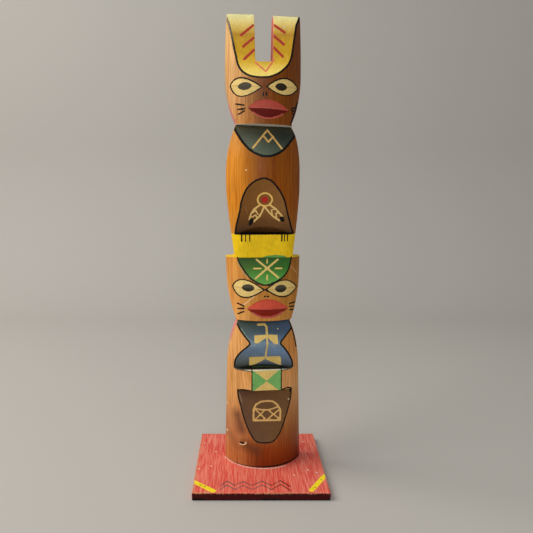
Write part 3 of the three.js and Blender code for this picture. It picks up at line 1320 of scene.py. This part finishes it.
    def wear(self) -> None:
        """Scratches to pale wood, painted highlight and shadow, the knot, dirt near the foot,
        stray paint specks.
        """
        wear_and_highlight = Layer.DETAIL
        for layer, shade, width, line in (
            (wear_and_highlight, "#e6c48e", 0.7, ((-6, 147), (-10, 143.4), (-13, 140.6), (-15.9, 137.8))),
            (wear_and_highlight, "#d9ae78", 0.45, ((21, 167.7), (26.7, 161.4))),
            (Layer.STAIN, "#5c3226", 6.0, ((-21, 48), (-18, 36))),
            (Layer.STAIN, "#66391f", 8.0, ((-15, 24), (-7, 20))),
            (Layer.STAIN, "#8a5634", 1.5, ((-27, 30), (-21, 20))),
            (wear_and_highlight, "#ecd0a4", 0.8, ((-19.6, 24), (-17, 23.6), (-14.9, 24.8), (-14.6, 26.6))),
            # pale streaks along the left edges of the hourglass and the forehead: partly worn
            # paint, partly painted highlight where the edge catches the lamp
            (wear_and_highlight, "#94a28c", 0.5, ((-17.8, 118.6), (-13.6, 112.4), (-9.6, 108.4))),
            (wear_and_highlight, "#8aa47c", 0.5, ((-20.4, 171.4), (-17.2, 164.6), (-13.4, 159.6))),
            (wear_and_highlight, "#98866e", 0.5, ((-19.8, 66.4), (-17.6, 58.5))),
            # the same along the collar's left edge: partly worn paint, partly painted highlight
            (wear_and_highlight, "#8c9880", 0.5, ((-20.6, 268), (-15.8, 260.6), (-11.4, 257.4))),
            (wear_and_highlight, "#a5b4b8", 0.5, ((-10.5, 105.8), (-7.2, 106.3))),
            (wear_and_highlight, "#a5b4b8", 0.5, ((5.2, 105.4), (8.6, 104.8))),
            (wear_and_highlight, "#8e6840", 0.5, ((-14.5, 214), (-12.6, 208.5))),
            (wear_and_highlight, "#8e6840", 0.5, ((8.6, 226), (12.2, 221.5))),
        ):
            self.stroke(layer, shade, width, line)
        knot = oval(-17.7, 25.1, 1.9, 0.95)
        self.patch(Layer.LINE, "#1c120a", knot)
        self.patch(wear_and_highlight, "#e8d8c0", oval(15.2, 346.4, 0.7, 0.6))
        for x, z in ((-13.9, 241), (14, 205), (11, 118), (20, 60)):
            self.patch(wear_and_highlight, "#e6cc9c", oval(x, z, 0.6, 0.5))
        for x, z in ((-29.4, 54.5), (-29.2, 31)):
            self.patch(wear_and_highlight, "#e8c79a", oval(x, z, 0.7, 1.1))
        spill = (
            (2, 176), (5, 176.3), (9, 176.7), (14, 176.2), (17, 175.6), (17, 174.2), (-2, 174.2),
        )
        self.patch(wear_and_highlight, "#5b9a4a", spill)
        # painted shadow: the dark line where the foot meets the board, higher on the right
        x = np.linspace(-24, 35, 24)
        foot_shadow = np.column_stack((x, 5.9 + 0.8 * eased((x + 24) / 40)))
        self.stroke(Layer.LINE, "#120a06", 1.9, foot_shadow)

    def off_the_face(self, own: Array, row: Array, front: Array, fields: Fields) -> None:
        """Paint on the ledges, with painted highlight and shadow there, and where it runs on over
        the sawn sides.

        Args:
            own: the mesh's points in the pole's own frame.
            row: their heights on the level rows.
            front: which of them are on the carved front.
            fields: the distance and colour of each layer, changed in place.
        """
        x, y, z = own.T
        form = self.form
        wall = ~front & (y < form.section.back - 0.1)
        depth, colour = fields[Layer.COAT]
        low, high = self.BAND_SIDE
        gouge = form.hourglass.bottom - self.HOLLOW
        # the chin's underside, painted pale as a highlight
        chin = front & (row > form.collar.top) & (row < form.collar.top + form.thin_ledge)
        # the sill under the hourglass, painted pale as a highlight on the ledge that faces up
        sill = front & (row > form.square.top) & (row < gouge)
        # the hollow at the hourglass's foot, painted dark as its shadow
        hollow = front & (row > gouge) & (row < form.hourglass.bottom)
        # the shelf on top of the band, painted pale as a highlight on the ledge that faces up
        shelf = front & (row > form.band.top) & (row < form.belly.bottom)
        # the slot's floor and walls, but not the tops and outer sides of the ears
        slot = wall & (z > form.slot_foot - 2) & (np.abs(x) < 9)
        band = wall & (z > low) & (z < high)
        ledge = wall & (z > self.LEDGE_FOOT) & (z <= low)
        cream = wall & (x < 0) & (z > self.CREAM_SIDE[0]) & (z < self.CREAM_SIDE[1])
        pink = [wall & (x < -15) & (z > foot) & (z < top) for foot, top in self.PINK_SIDES]
        for place, shade in (
            (chin, "#e6e6dc"),
            (sill, "#f4f0da"),
            (hollow, "#2e2b20"),
            (shelf, "#f0e08c"),
            (slot, "#e2c45c"),
            (slot & (x > 0), "#d8685c"),
            (band, "#eec511"),
            (ledge, "#f0dfa4"),
            (cream, "#e6c896"),
            (np.any(pink, axis=0), "#e0857a"),
        ):
            depth[place] = self.COVERED
            colour[place] = linear(shade)
        fields[Layer.DETAIL][0][sill | hollow] = self.ABSENT


class BoardPaint(Brushwork):
    """The stripes, zigzags and specks on the base board, in board coordinates (x, y)."""

    # the front face's points lie before this y and below this z
    FRONT = -49.6
    TOP = 5.99
    # heights of the dark coat's edge, and of the black, painted as shadow, at its foot and in its
    # patches
    COAT_TOP = 5.75
    BLACK_FOOT = 0.7
    BLACK_PATCH = 2.0
    PATCHES = ((-50.7, -41.9), (1.3, 13), (48.2, 60))
    # the bare ring round the pole's foot: its middle and radius
    FOOT = (3.3, 20.2)
    FOOT_RADIUS = 34.4

    def __init__(self) -> None:
        """Lay out all the marks."""
        super().__init__()
        self.draw("#ffe61c", 4.4, ((-50.8, -34.6), (-35.2, -47.8)))
        self.draw("#ffe61c", 4.0, ((50.6, -25), (37.2, -46.8)))
        peaks = ((-25.5, -33.5), (-13.3, -34.2), (1.2, -33.5), (15, -32.7))
        valleys = ((-30.5, -40.7), (-19.3, -40), (-6.5, -40), (7.7, -40), (21.9, -41.4))
        zigzag = np.array([p for pair in zip(valleys, peaks) for p in pair] + [valleys[-1]])
        for upper, (left, right), width in (
            (zigzag, ("#5c4c50", "#1c1616"), 1.15),
            (zigzag - (0, 5.8), ("#6a585a", "#2c2422"), 1.05),
        ):
            self.stroke(Layer.LINE, left, width, upper[:7])
            self.stroke(Layer.LINE, right, width, upper[6:])
        turns = np.radians(np.linspace(-66, 30, 30))
        ring = np.column_stack((np.sin(turns), -np.cos(turns))) * self.FOOT_RADIUS + self.FOOT
        self.stroke(Layer.STAIN, "#ffd2be", 1.3, ring)
        for x, y in (
            (40, 34.4), (-36.3, 15.2), (-39.1, -10), (-48.3, -14.9),
            (38.3, -16.5), (44.5, -20.5), (26.5, -24.4), (-46.7, 31.4),
        ):
            self.patch(Layer.DETAIL, "#f2e2d2", oval(x, y, 0.8, 0.7))
        for x, y in ((-45, -39), (-41.7, -41.6), (46.6, -31.5), (40.4, -43)):
            self.patch(Layer.LINE, "#6a5410", oval(x, y, 0.6, 0.8))

    def front_face(self, points: Array, fields: Fields) -> None:
        """The dark coat on the front face, darkened further as painted shade, and black at its
        foot and in patches as painted shadow.

        Args:
            points: the board's points (x, y, z).
            fields: the distance and colour of each layer, changed in place.
        """
        x, y, z = points.T
        face = (y < self.FRONT) & (z < self.TOP)
        depth, colour = fields[Layer.COAT]
        depth[face] = self.COAT_TOP - z[face]
        # very dark red: partly the coat's own colour, partly painted shade
        colour[face] = linear("#3e0302")
        depth, colour = fields[Layer.LINE]
        # black at the face's foot and in three patches there: painted shadow under the board's
        # lower edge
        patched = np.any([(x > left) & (x < right) for left, right in self.PATCHES], axis=0)
        depth[face] = np.where(patched, self.BLACK_PATCH, self.BLACK_FOOT)[face] - z[face]
        colour[face] = linear(self.black)


# ------------------------------------------------------------------ finishes


def started(name: str, sheen: float) -> tuple[bpy.types.Material, Tree, Socket]:
    """A new material.

    Args:
        name: its name.
        sheen: its specular level.

    Returns:
        The material, its tree, and the position on the piece in millimetres.
    """
    made = bpy.data.materials.new(name)
    made.use_nodes = True
    tree = made.node_tree
    tree.nodes["Principled BSDF"].inputs["Specular IOR Level"].default_value = sheen
    place = add(tree, "ShaderNodeTexCoord").outputs["Object"]
    scaled = add(tree, "ShaderNodeVectorMath", {0: place, "Scale": 1 / MM}, operation="SCALE")
    return made, tree, scaled.outputs[0]


def noise(
    tree: Tree,
    mm: Socket,
    size: tuple[float, float, float],
    spread: tuple[float, float],
    values: tuple[float, float],
    detail: float = 2.0,
) -> Socket:
    """An uneven value with grains of a given size.

    Args:
        tree: the tree that the nodes go into.
        mm: position in millimetres.
        size: width of a grain along each axis.
        spread: the part of the noise that is used.
        values: what its two ends become.
        detail: how many finer octaves it has.

    Returns:
        The value.
    """
    scale = tuple(1 / width for width in size)
    place = add(tree, "ShaderNodeVectorMath", {0: mm, 1: scale}, operation="MULTIPLY").outputs[0]
    links = {"Vector": place, "Scale": 1.0, "Detail": detail}
    fac = add(tree, "ShaderNodeTexNoise", links).outputs["Fac"]
    ends = {"From Min": spread[0], "From Max": spread[1], "To Min": values[0], "To Max": values[1]}
    return add(tree, "ShaderNodeMapRange", {"Value": fac, **ends}).outputs["Result"]


# a Mix node that mixes colours; its sockets 0, 6 and 7 are the factor and the two colours
COLOURS = {"data_type": "RGBA"}


@dataclass(frozen=True)
class Enamel:
    """Thin brushed enamel: streaks of a small brush, ragged edges, dulled by age.

    Each ragged row is a layer, how far its edge wanders, how soft that is, and how much it
    covers. Measures are in millimetres.
    """

    stroke: tuple[float, float, float]
    roughness: float = 0.5
    streak: tuple[float, float] = (0.84, 1.12)
    ragged: tuple[tuple[Layer, float, float, float], ...] = (
        (Layer.STAIN, 3.0, 3.6, 0.85),
        (Layer.COAT, 0.3, 0.1, 1.0),
        (Layer.DETAIL, 0.35, 0.12, 0.97),
        (Layer.LINE, 0.35, 0.12, 1.0),
    )

    def over(self, tree: Tree, mm: Socket, colour: Socket) -> tuple[Socket, Socket, Socket]:
        """Lay the painted layers over a ground.

        Args:
            tree: the material's tree.
            mm: position in millimetres.
            colour: colour of the ground.

        Returns:
            The colour, how much of the ground is painted, and the brush streaks' height.
        """
        streaks = noise(tree, mm, self.stroke, (0.25, 0.75), self.streak, detail=3)
        blotches = noise(tree, mm, (6, 6, 6), (0.3, 0.7), (0.93, 1.06))
        both = add(tree, "ShaderNodeMath", {0: streaks, 1: blotches}, operation="MULTIPLY")
        streaks = both.outputs[0]
        wobble = noise(tree, mm, (0.9, 0.9, 0.9), (0, 1), (-1, 1), detail=3)
        painted = None
        for layer, ragged, soft, cover in self.ragged:
            here = add(tree, "ShaderNodeAttribute", attribute_name=layer.value).outputs["Fac"]
            shade = add(tree, "ShaderNodeAttribute", attribute_name=f"{layer.value}_colour")
            links = {0: 1.0, 6: shade.outputs["Color"], 7: streaks}
            brushed = add(tree, "ShaderNodeMix", links, blend_type="MULTIPLY", **COLOURS)
            links = {0: wobble, 1: ragged, 2: here}
            edge = add(tree, "ShaderNodeMath", links, operation="MULTIPLY_ADD").outputs[0]
            limits = {"From Min": -soft, "From Max": soft, "To Max": cover}
            mask = add(tree, "ShaderNodeMapRange", {"Value": edge, **limits}).outputs["Result"]
            links = {0: mask, 6: colour, 7: brushed.outputs[2]}
            colour = add(tree, "ShaderNodeMix", links, **COLOURS).outputs[2]
            if layer is Layer.COAT:
                painted = mask
            elif painted is not None:
                both = add(tree, "ShaderNodeMath", {0: painted, 1: mask}, operation="MAXIMUM")
                painted = both.outputs[0]
        return colour, painted, streaks


@dataclass(frozen=True)
class PaintedCedar:
    """Flat-sawn cedar under old oil varnish, with brushed enamels over it.

    The wood gives the eye long fine streaks of early and late growth and a satin sheen.
    The varnish has darkened to orange. Measures are in millimetres.
    """

    name: str = "varnished cedar with brushed enamels"
    growth: tuple[float, float, float] = (1.3, 1.3, 60.0)
    fibre: tuple[float, float, float] = (0.5, 0.5, 12.0)
    # colour at each height of the lamp-lit left side, with painted light and sheen, and of the
    # right side, with painted shade
    pale: Shades = (
        (6, "#bc7844"), (20, "#c07844"), (38, "#bc7a4c"), (70, "#dca05e"), (105, "#e4a866"),
        (160, "#d6964a"), (215, "#d4861e"), (250, "#da8e2e"), (290, "#d49e66"),
        (358, "#eabe7c"),
    )
    dark: Shades = (
        (6, "#702806"), (20, "#883e10"), (38, "#a46632"), (70, "#dea466"), (105, "#cc8a44"),
        (145, "#c08438"), (170, "#a26e2a"), (215, "#924e04"), (260, "#884a06"),
        (358, "#703a10"),
    )
    # x between which the painted light of the left side turns to the painted shade of the right
    turns: tuple[float, float] = (-22.0, 2.0)
    late: str = "#dcc2a0"
    roughness: float = 0.4
    sheen: float = 0.17
    enamel: Enamel = Enamel(stroke=(0.7, 0.7, 3.5))

    def material(self) -> bpy.types.Material:
        """Make the material.

        Returns:
            The material.
        """
        made, tree, mm = started(self.name, self.sheen)
        wood, fibre = self.varnished(tree, mm)
        colour, painted, streaks = self.enamel.over(tree, mm, wood)
        ends = {"To Min": self.roughness, "To Max": self.enamel.roughness}
        rough = add(tree, "ShaderNodeMapRange", {"Value": painted, **ends}).outputs["Result"]
        # a streak of thicker paint is duller
        links = {0: streaks, 1: 0.9, 2: -0.88}
        uneven = add(tree, "ShaderNodeMath", links, operation="MULTIPLY_ADD").outputs[0]
        total = add(tree, "ShaderNodeMath", {0: rough, 1: uneven}, operation="ADD").outputs[0]
        height = add(tree, "ShaderNodeMath", {0: fibre, 1: streaks}, operation="ADD").outputs[0]
        # fibre and brush streaks stand about a tenth of a millimetre proud
        links = {"Strength": 0.5, "Distance": 0.1 * MM, "Height": height}
        bump = add(tree, "ShaderNodeBump", links).outputs["Normal"]
        shader = tree.nodes["Principled BSDF"].inputs
        for name, socket in (("Base Color", colour), ("Roughness", total), ("Normal", bump)):
            tree.links.new(socket, shader[name])
        return made

    def varnished(self, tree: Tree, mm: Socket) -> tuple[Socket, Socket]:
        """Streaked wood under its varnish, painted lighter on the lit left side and darker on the
        shaded right.

        Args:
            tree: the material's tree.
            mm: position in millimetres.

        Returns:
            The colour, and the fibre's height.
        """
        # the growth rings wander by up to 6 mm over waves of 50 mm
        waves = add(tree, "ShaderNodeTexNoise", {"Vector": mm, "Scale": 0.02, "Detail": 1.0})
        shift = {0: waves.outputs["Color"], 1: (6, 6, 0), 2: mm}
        wavy = add(tree, "ShaderNodeVectorMath", shift, operation="MULTIPLY_ADD").outputs[0]
        growth = noise(tree, wavy, self.growth, (0.42, 0.66), (0, 0.75))
        fibre = noise(tree, mm, self.fibre, (0.3, 0.7), (0.92, 1.2))
        patches = noise(tree, mm, (14, 14, 40), (0.3, 0.7), (0.88, 1.1))
        where = add(tree, "ShaderNodeSeparateXYZ", {0: mm}).outputs
        # painted light and shade: the wood turns from its lit left colour to its shaded right one
        links = {"Value": where["X"], "From Min": self.turns[0], "From Max": self.turns[1]}
        lit_to_shaded = add(tree, "ShaderNodeMapRange", links, interpolation_type="SMOOTHSTEP")
        pale, dark = (self.by_height(tree, where["Z"], stops) for stops in (self.pale, self.dark))
        links = {0: lit_to_shaded.outputs["Result"], 6: pale, 7: dark}
        early = add(tree, "ShaderNodeMix", links, **COLOURS).outputs[2]
        links = {0: 1.0, 6: early, 7: linear(self.late)}
        late = add(tree, "ShaderNodeMix", links, blend_type="MULTIPLY", **COLOURS).outputs[2]
        links = {0: growth, 6: early, 7: late}
        streaked = add(tree, "ShaderNodeMix", links, **COLOURS).outputs[2]
        shade = add(tree, "ShaderNodeMath", {0: fibre, 1: patches}, operation="MULTIPLY")
        links = {0: 1.0, 6: streaked, 7: shade.outputs[0]}
        wood = add(tree, "ShaderNodeMix", links, blend_type="MULTIPLY", **COLOURS)
        return wood.outputs[2], fibre

    @staticmethod
    def by_height(tree: Tree, height: Socket, shades: Shades) -> Socket:
        """A colour that changes with height.

        Args:
            tree: the material's tree.
            height: the height in millimetres.
            shades: the colour at each of some rising heights.

        Returns:
            The colour.
        """
        top = float(shades[-1][0])
        up = add(tree, "ShaderNodeMapRange", {"Value": height, "From Max": top}).outputs["Result"]
        ramp = add(tree, "ShaderNodeValToRGB", {"Fac": up})
        stops = ramp.color_ramp.elements
        while len(stops) < len(shades):
            stops.new(0.5)
        for stop, (level, shade) in zip(stops, shades):
            stop.position, stop.color = level / top, linear(shade)
        return ramp.outputs["Color"]


@dataclass(frozen=True)
class PaintedPine:
    """A pine board brushed red from front to back, streaky, with its edges rubbed.

    Measures are in millimetres.
    """

    name: str = "brushed red enamel on pine"
    red: str = "#dc4a3e"
    pale: str = "#f28c76"
    bare: str = "#c99a6c"
    roughness: float = 0.45
    sheen: float = 0.15
    enamel: Enamel = Enamel(
        stroke=(1.2, 9.0, 1.2),
        ragged=(
            (Layer.STAIN, 1.0, 0.6, 0.85),
            (Layer.COAT, 0.9, 0.2, 1.0),
            (Layer.DETAIL, 0.4, 0.15, 0.95),
            (Layer.LINE, 0.5, 0.2, 0.85),
        ),
    )

    def material(self) -> bpy.types.Material:
        """Make the material.

        Returns:
            The material.
        """
        made, tree, mm = started(self.name, self.sheen)
        spread = noise(tree, mm, (0.8, 16, 0.8), (0.38, 0.66), (0, 1), detail=3)
        links = {0: spread, 6: linear(self.red), 7: linear(self.pale)}
        ground = add(tree, "ShaderNodeMix", links, **COLOURS).outputs[2]
        colour, _, streaks = self.enamel.over(tree, mm, ground)
        worn = add(tree, "ShaderNodeAttribute", attribute_name="worn").outputs["Fac"]
        rub = noise(tree, mm, (2.2, 2.2, 1.2), (0.4, 0.6), (-1, 0), detail=3)
        bare = add(tree, "ShaderNodeMath", {0: worn, 1: rub}, operation="ADD", use_clamp=True)
        links = {0: bare.outputs[0], 6: colour, 7: linear(self.bare)}
        colour = add(tree, "ShaderNodeMix", links, **COLOURS).outputs[2]
        # the brush streaks stand about a tenth of a millimetre proud
        links = {"Strength": 0.5, "Distance": 0.12 * MM, "Height": streaks}
        bump = add(tree, "ShaderNodeBump", links).outputs["Normal"]
        shader = tree.nodes["Principled BSDF"].inputs
        tree.links.new(colour, shader["Base Color"])
        shader["Roughness"].default_value = self.roughness
        tree.links.new(bump, shader["Normal"])
        return made


@dataclass(frozen=True)
class KnifeRipple:
    """The slight unevenness that a knife and sandpaper leave, made with Geometry Nodes.

    Measures are in millimetres.
    """

    depth: float = 0.16
    across: float = 3.2
    along: float = 8.0
    seed: float = 4.0
    # edges that turn by more degrees than this stay sharp
    sharp: float = 32.0

    def tree(self) -> Tree:
        """Make the node tree, whose sizes are in metres.

        Returns:
            The tree.
        """
        made = bpy.data.node_groups.new("knife_ripple", "GeometryNodeTree")
        made.is_modifier = True
        sockets = [("Geometry", "Geometry"), ("Material", "Material")]
        sockets += [(name, "Float") for name in ("Depth", "Across", "Along", "Seed")]
        for name, kind in sockets:
            made.interface.new_socket(name, in_out="INPUT", socket_type=f"NodeSocket{kind}")
        made.interface.new_socket("Geometry", in_out="OUTPUT", socket_type="NodeSocketGeometry")
        given = add(made, "NodeGroupInput").outputs
        links = {0: given["Across"], 1: given["Across"], 2: given["Along"]}
        size = add(made, "ShaderNodeCombineXYZ", links).outputs[0]
        place = add(made, "GeometryNodeInputPosition").outputs[0]
        scaled = add(made, "ShaderNodeVectorMath", {0: place, 1: size}, operation="DIVIDE")
        links = {"Vector": scaled.outputs[0], "W": given["Seed"], "Scale": 1.0, "Detail": 1.5}
        uneven = add(made, "ShaderNodeTexNoise", links, noise_dimensions="4D").outputs[0]
        links = {0: uneven, 1: 0.5}
        centred = add(made, "ShaderNodeMath", links, operation="SUBTRACT").outputs[0]
        links = {0: centred, 1: given["Depth"]}
        amount = add(made, "ShaderNodeMath", links, operation="MULTIPLY").outputs[0]
        links = {0: add(made, "GeometryNodeInputNormal").outputs[0], "Scale": amount}
        offset = add(made, "ShaderNodeVectorMath", links, operation="SCALE").outputs[0]
        links = {"Geometry": given["Geometry"], "Offset": offset}
        moved = add(made, "GeometryNodeSetPosition", links).outputs[0]
        real = add(made, "GeometryNodeRealizeInstances", {"Geometry": moved}).outputs[0]
        links = {"Geometry": real, "Material": given["Material"]}
        add(made, "NodeGroupOutput", {0: add(made, "GeometryNodeSetMaterial", links).outputs[0]})
        return made

    def carved(
        self, name: str, mesh: bpy.types.Mesh, material: bpy.types.Material
    ) -> bpy.types.Object:
        """Ripple a mesh, and make the result a plain object.

        Args:
            name: the new object's name.
            mesh: the mesh to ripple.
            material: what it is made of.

        Returns:
            The new object, linked to the scene.
        """
        rough = bpy.data.objects.new(f"{name}_plain", mesh)
        bpy.context.scene.collection.objects.link(rough)
        modifier = rough.modifiers.new("ripple", "NODES")
        modifier.node_group = self.tree()
        values = {
            "Depth": self.depth * MM,
            "Across": self.across * MM,
            "Along": self.along * MM,
            "Seed": self.seed,
            "Material": material,
        }
        for item in modifier.node_group.interface.items_tree:
            if item.in_out == "INPUT" and item.name in values:
                modifier[item.identifier] = values[item.name]
        graph = bpy.context.evaluated_depsgraph_get()
        made = bpy.data.meshes.new_from_object(rough.evaluated_get(graph), depsgraph=graph)
        bpy.data.objects.remove(rough)
        made.name = name
        made.polygons.foreach_set("use_smooth", [True] * len(made.polygons))
        made.set_sharp_from_angle(angle=math.radians(self.sharp))
        piece = bpy.data.objects.new(name, made)
        bpy.context.scene.collection.objects.link(piece)
        return piece


def painted_mesh(
    name: str, points: Array, triangles: Array, fields: Fields
) -> bpy.types.Mesh:
    """A mesh that carries its paint as attributes.

    Args:
        name: the mesh's name.
        points: its points in metres.
        triangles: its triangles.
        fields: the distance and colour of each layer.

    Returns:
        The mesh.
    """
    mesh = bpy.data.meshes.new(name)
    mesh.from_pydata(points.tolist(), [], triangles.tolist())
    for layer, (depth, colour) in fields.items():
        mesh.attributes.new(layer.value, "FLOAT", "POINT").data.foreach_set("value", depth)
        shade = mesh.attributes.new(f"{layer.value}_colour", "FLOAT_COLOR", "POINT")
        shade.data.foreach_set("color", colour.ravel())
    return mesh


# ------------------------------------------------------------------ assemblies


@dataclass
class Pole:
    """The carved and painted pole."""

    form: Form = Form()
    stance: Stance = Stance()
    finish: PaintedCedar = PaintedCedar()
    ripple: KnifeRipple = KnifeRipple()

    def build(self) -> bpy.types.Object:
        """Make the pole and hand it to the frame.

        Returns:
            The pole's object.
        """
        paint = PolePaint(self.form)
        own, faces, front, row = Carving(self.form).solid(paint.fine())
        fields = paint.laid(own[:, [0, 2]], front)
        paint.off_the_face(own, row, front, fields)
        mesh = painted_mesh("totem_pole_carved", self.stance.placed(own), faces, fields)
        piece = self.ripple.carved("totem_pole_carved", mesh, self.finish.material())
        LOG.info("pole: %d triangles", len(piece.data.polygons))
        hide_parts("totem_pole")
        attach(piece, "root")
        return piece


@dataclass
class BaseBoard:
    """The square board under the pole, its edges rounded by wear and chipped in front."""

    half: float = 50.8
    thickness: float = 6.0
    edge: float = 0.25
    chip: float = 0.7
    chip_seed: int = 7
    # points along each side
    steps: int = 72
    # how far the sides are drawn in, and the underside's height, so that both stay in the solid
    drawn_in: float = 0.05
    underside: float = 0.06
    # the corners within this of the outline and above this height are rubbed, most on the left
    corner: float = 0.5
    rubbed_above: float = 4.8
    finish: PaintedPine = PaintedPine()
    ripple: KnifeRipple = KnifeRipple(depth=0.1, across=2.5, along=2.5, seed=9.0)

    def rim(self, inset: float, chips: float) -> Array:
        """The square's outline, drawn in.

        Args:
            inset: how far.
            chips: how much further at the deepest chips of the front edge.

        Returns:
            Points (x, y) that turn to the left, from the front left corner.
        """
        side = self.half - inset
        steps = np.linspace(-1, 1, self.steps + 1)[:-1] * side
        flat = np.full(len(steps), side)
        front = np.column_stack((steps, -flat))
        rest = [
            np.column_stack((flat, steps)),
            np.column_stack((-steps, flat)),
            np.column_stack((-flat, -steps)),
        ]
        random = np.random.default_rng(self.chip_seed)
        broken = np.clip(random.normal(0, 0.5, len(steps)), 0, 1)
        broken = (np.roll(broken, 1) + 2 * broken + np.roll(broken, -1)) / 4
        front[1:, 1] += chips * broken[1:]
        return np.vstack((front, *rest))

    def walls(self) -> list[Array]:
        """The rings of the board's sides, from the worn top edge down to the underside.

        Returns:
            The points (x, y, z) of each ring.
        """
        edge, chip, side, thick = self.edge, self.chip, self.drawn_in, self.thickness
        return [
            np.column_stack((self.rim(inset, chips), np.full(4 * self.steps, height)))
            for inset, chips, height in (
                (edge * 0.4, chip * 0.8, thick - edge * 0.4),
                (side, chip * 0.35, thick - edge * 1.3),
                (side, 0, thick - 1.6),
                (side, 0, thick / 2),
                (side, 0, 1.5),
                (0.1, 0, 0.7),
                (0.7, 0, self.underside),
            )
        ]

    def build(self) -> bpy.types.Object:
        """Make the board and hand it to the frame.

        Returns:
            The board's object.
        """
        paint = BoardPaint()
        rim = self.rim(self.edge * 1.3, self.chip)
        flat, faces = refined(*filled(rim, 1.8, 0.9), paint.fine(), 0.6)
        rings = self.walls()
        cap, cap_faces = filled(rings[-1][:, :2], 8, 3)
        inner = cap[len(rim) :]
        faces = walled(faces, np.arange(len(rim)), len(flat), rings, cap_faces)
        top = np.column_stack((flat, np.full(len(flat), self.thickness)))
        bottom = np.column_stack((inner, np.full(len(inner), self.underside)))
        points = np.vstack((top, *rings, bottom))
        fields = paint.laid(points[:, :2], np.arange(len(points)) < len(flat))
        paint.front_face(points, fields)
        mesh = painted_mesh("base_board_painted", points * MM, faces, fields)
        out = np.abs(points[:, :2]).max(axis=1)
        at_corner = np.abs(out - self.half + 0.3) < self.corner
        rubbed = at_corner & (points[:, 2] > self.rubbed_above)
        rubbed = rubbed * np.where(points[:, 0] < -40, 1.0, 0.6)
        mesh.attributes.new("worn", "FLOAT", "POINT").data.foreach_set("value", rubbed)
        piece = self.ripple.carved("base_board_painted", mesh, self.finish.material())
        LOG.info("board: %d triangles", len(piece.data.polygons))
        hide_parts("base_board")
        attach(piece, "root")
        return piece


@dataclass(frozen=True)
class Lamp:
    """A round soft lamp that shines at a point; sizes are in metres, the power in watts."""

    name: str
    towards: tuple[float, float, float]
    aim: tuple[float, float, float]
    distance: float
    size: float
    power: float
    colour: str = "#ffffff"
    spread: float = 180.0

    def build(self) -> None:
        """Hang the lamp."""
        light = bpy.data.lights.new(self.name, "AREA")
        light.shape, light.size, light.energy = "DISK", self.size, self.power
        light.spread = math.radians(self.spread)
        light.color = linear(self.colour)[:3]
        holder = bpy.data.objects.new(self.name, light)
        towards = Vector(self.towards).normalized()
        holder.location = Vector(self.aim) + towards * self.distance
        holder.rotation_euler = towards.to_track_quat("Z", "Y").to_euler()
        bpy.context.scene.collection.objects.link(holder)


@dataclass(frozen=True)
class Studio:
    """Camera, lamps and a sweep of pale paper."""

    lamps: tuple[Lamp, ...] = (
        Lamp("key", (-0.74, -0.12, 0.8), (0, 0, 0.15), 1.4, 1.2, 15.5, "#fffaf2"),
        Lamp("front", (-0.1, -0.95, 0.35), (0, 0, 0.1), 1.5, 1.0, 6.5),
    )
    paper: str = "#bdbab5"
    sky: str = "#f2f2f0"
    ambient: float = 0.34
    # the camera: its place, its tilt up from straight down, its lens and its shift
    eye: tuple[float, float, float] = (-0.0136, -0.4234, 0.2193)
    tilt: float = 82.92
    sensor: float = 36.0
    lens: float = 36.59
    shift: float = 0.0448
    # the paper sweep: its half width, front edge, start and radius of the curve, and top
    half_width: float = 2.2
    front: float = -1.6
    curve: float = 0.55
    radius: float = 0.35
    top: float = 1.6

    def build(self) -> None:
        """Set up the shot."""
        scene = bpy.context.scene
        scene.view_settings.view_transform = "Standard"
        camera = bpy.data.cameras.new("camera")
        camera.sensor_width, camera.lens, camera.shift_x = self.sensor, self.lens, self.shift
        holder = bpy.data.objects.new("camera", camera)
        holder.location = self.eye
        holder.rotation_euler = (math.radians(self.tilt), 0, 0)
        scene.collection.objects.link(holder)
        scene.camera = holder
        for lamp in self.lamps:
            lamp.build()
        world = bpy.data.worlds.new("studio")
        world.use_nodes = True
        sky = world.node_tree.nodes["Background"].inputs
        sky["Color"].default_value = linear(self.sky)
        sky["Strength"].default_value = self.ambient
        scene.world = world
        self.sweep()

    def sweep(self) -> None:
        """The floor, curved up into a backdrop behind the object."""
        turn = np.linspace(0, math.pi / 2, 17)
        end = self.curve + self.radius
        y = np.concatenate(([self.front], self.curve + self.radius * np.sin(turn), [end]))
        z = np.concatenate(([0], self.radius * (1 - np.cos(turn)), [self.top]))
        points = [(x, a, b) for a, b in zip(y, z) for x in (-self.half_width, self.half_width)]
        faces = [(2 * i, 2 * i + 1, 2 * i + 3, 2 * i + 2) for i in range(len(y) - 1)]
        mesh = bpy.data.meshes.new("paper_sweep")
        mesh.from_pydata(points, [], faces)
        mesh.polygons.foreach_set("use_smooth", [True] * len(faces))
        paper = bpy.data.materials.new("matt studio paper")
        paper.use_nodes = True
        shader = paper.node_tree.nodes["Principled BSDF"].inputs
        shader["Base Color"].default_value = linear(self.paper)
        shader["Roughness"].default_value = 0.9
        mesh.materials.append(paper)
        sweep = bpy.data.objects.new("paper_sweep", mesh)
        bpy.context.scene.collection.objects.link(sweep)
        sweep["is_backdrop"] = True


def main() -> None:
    """Build the pole, the board and the studio."""
    logging.basicConfig(level=logging.INFO, format="%(name)s: %(message)s")
    Pole().build()
    BaseBoard().build()
    Studio().build()
    boxes = {"cad": CAD_BOX, "visual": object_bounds()}
    sizes = {name: [list(corner) for corner in box] for name, box in boxes.items()}
    LOG.info("studio and sizes done")


if __name__ == "__main__":
    main()
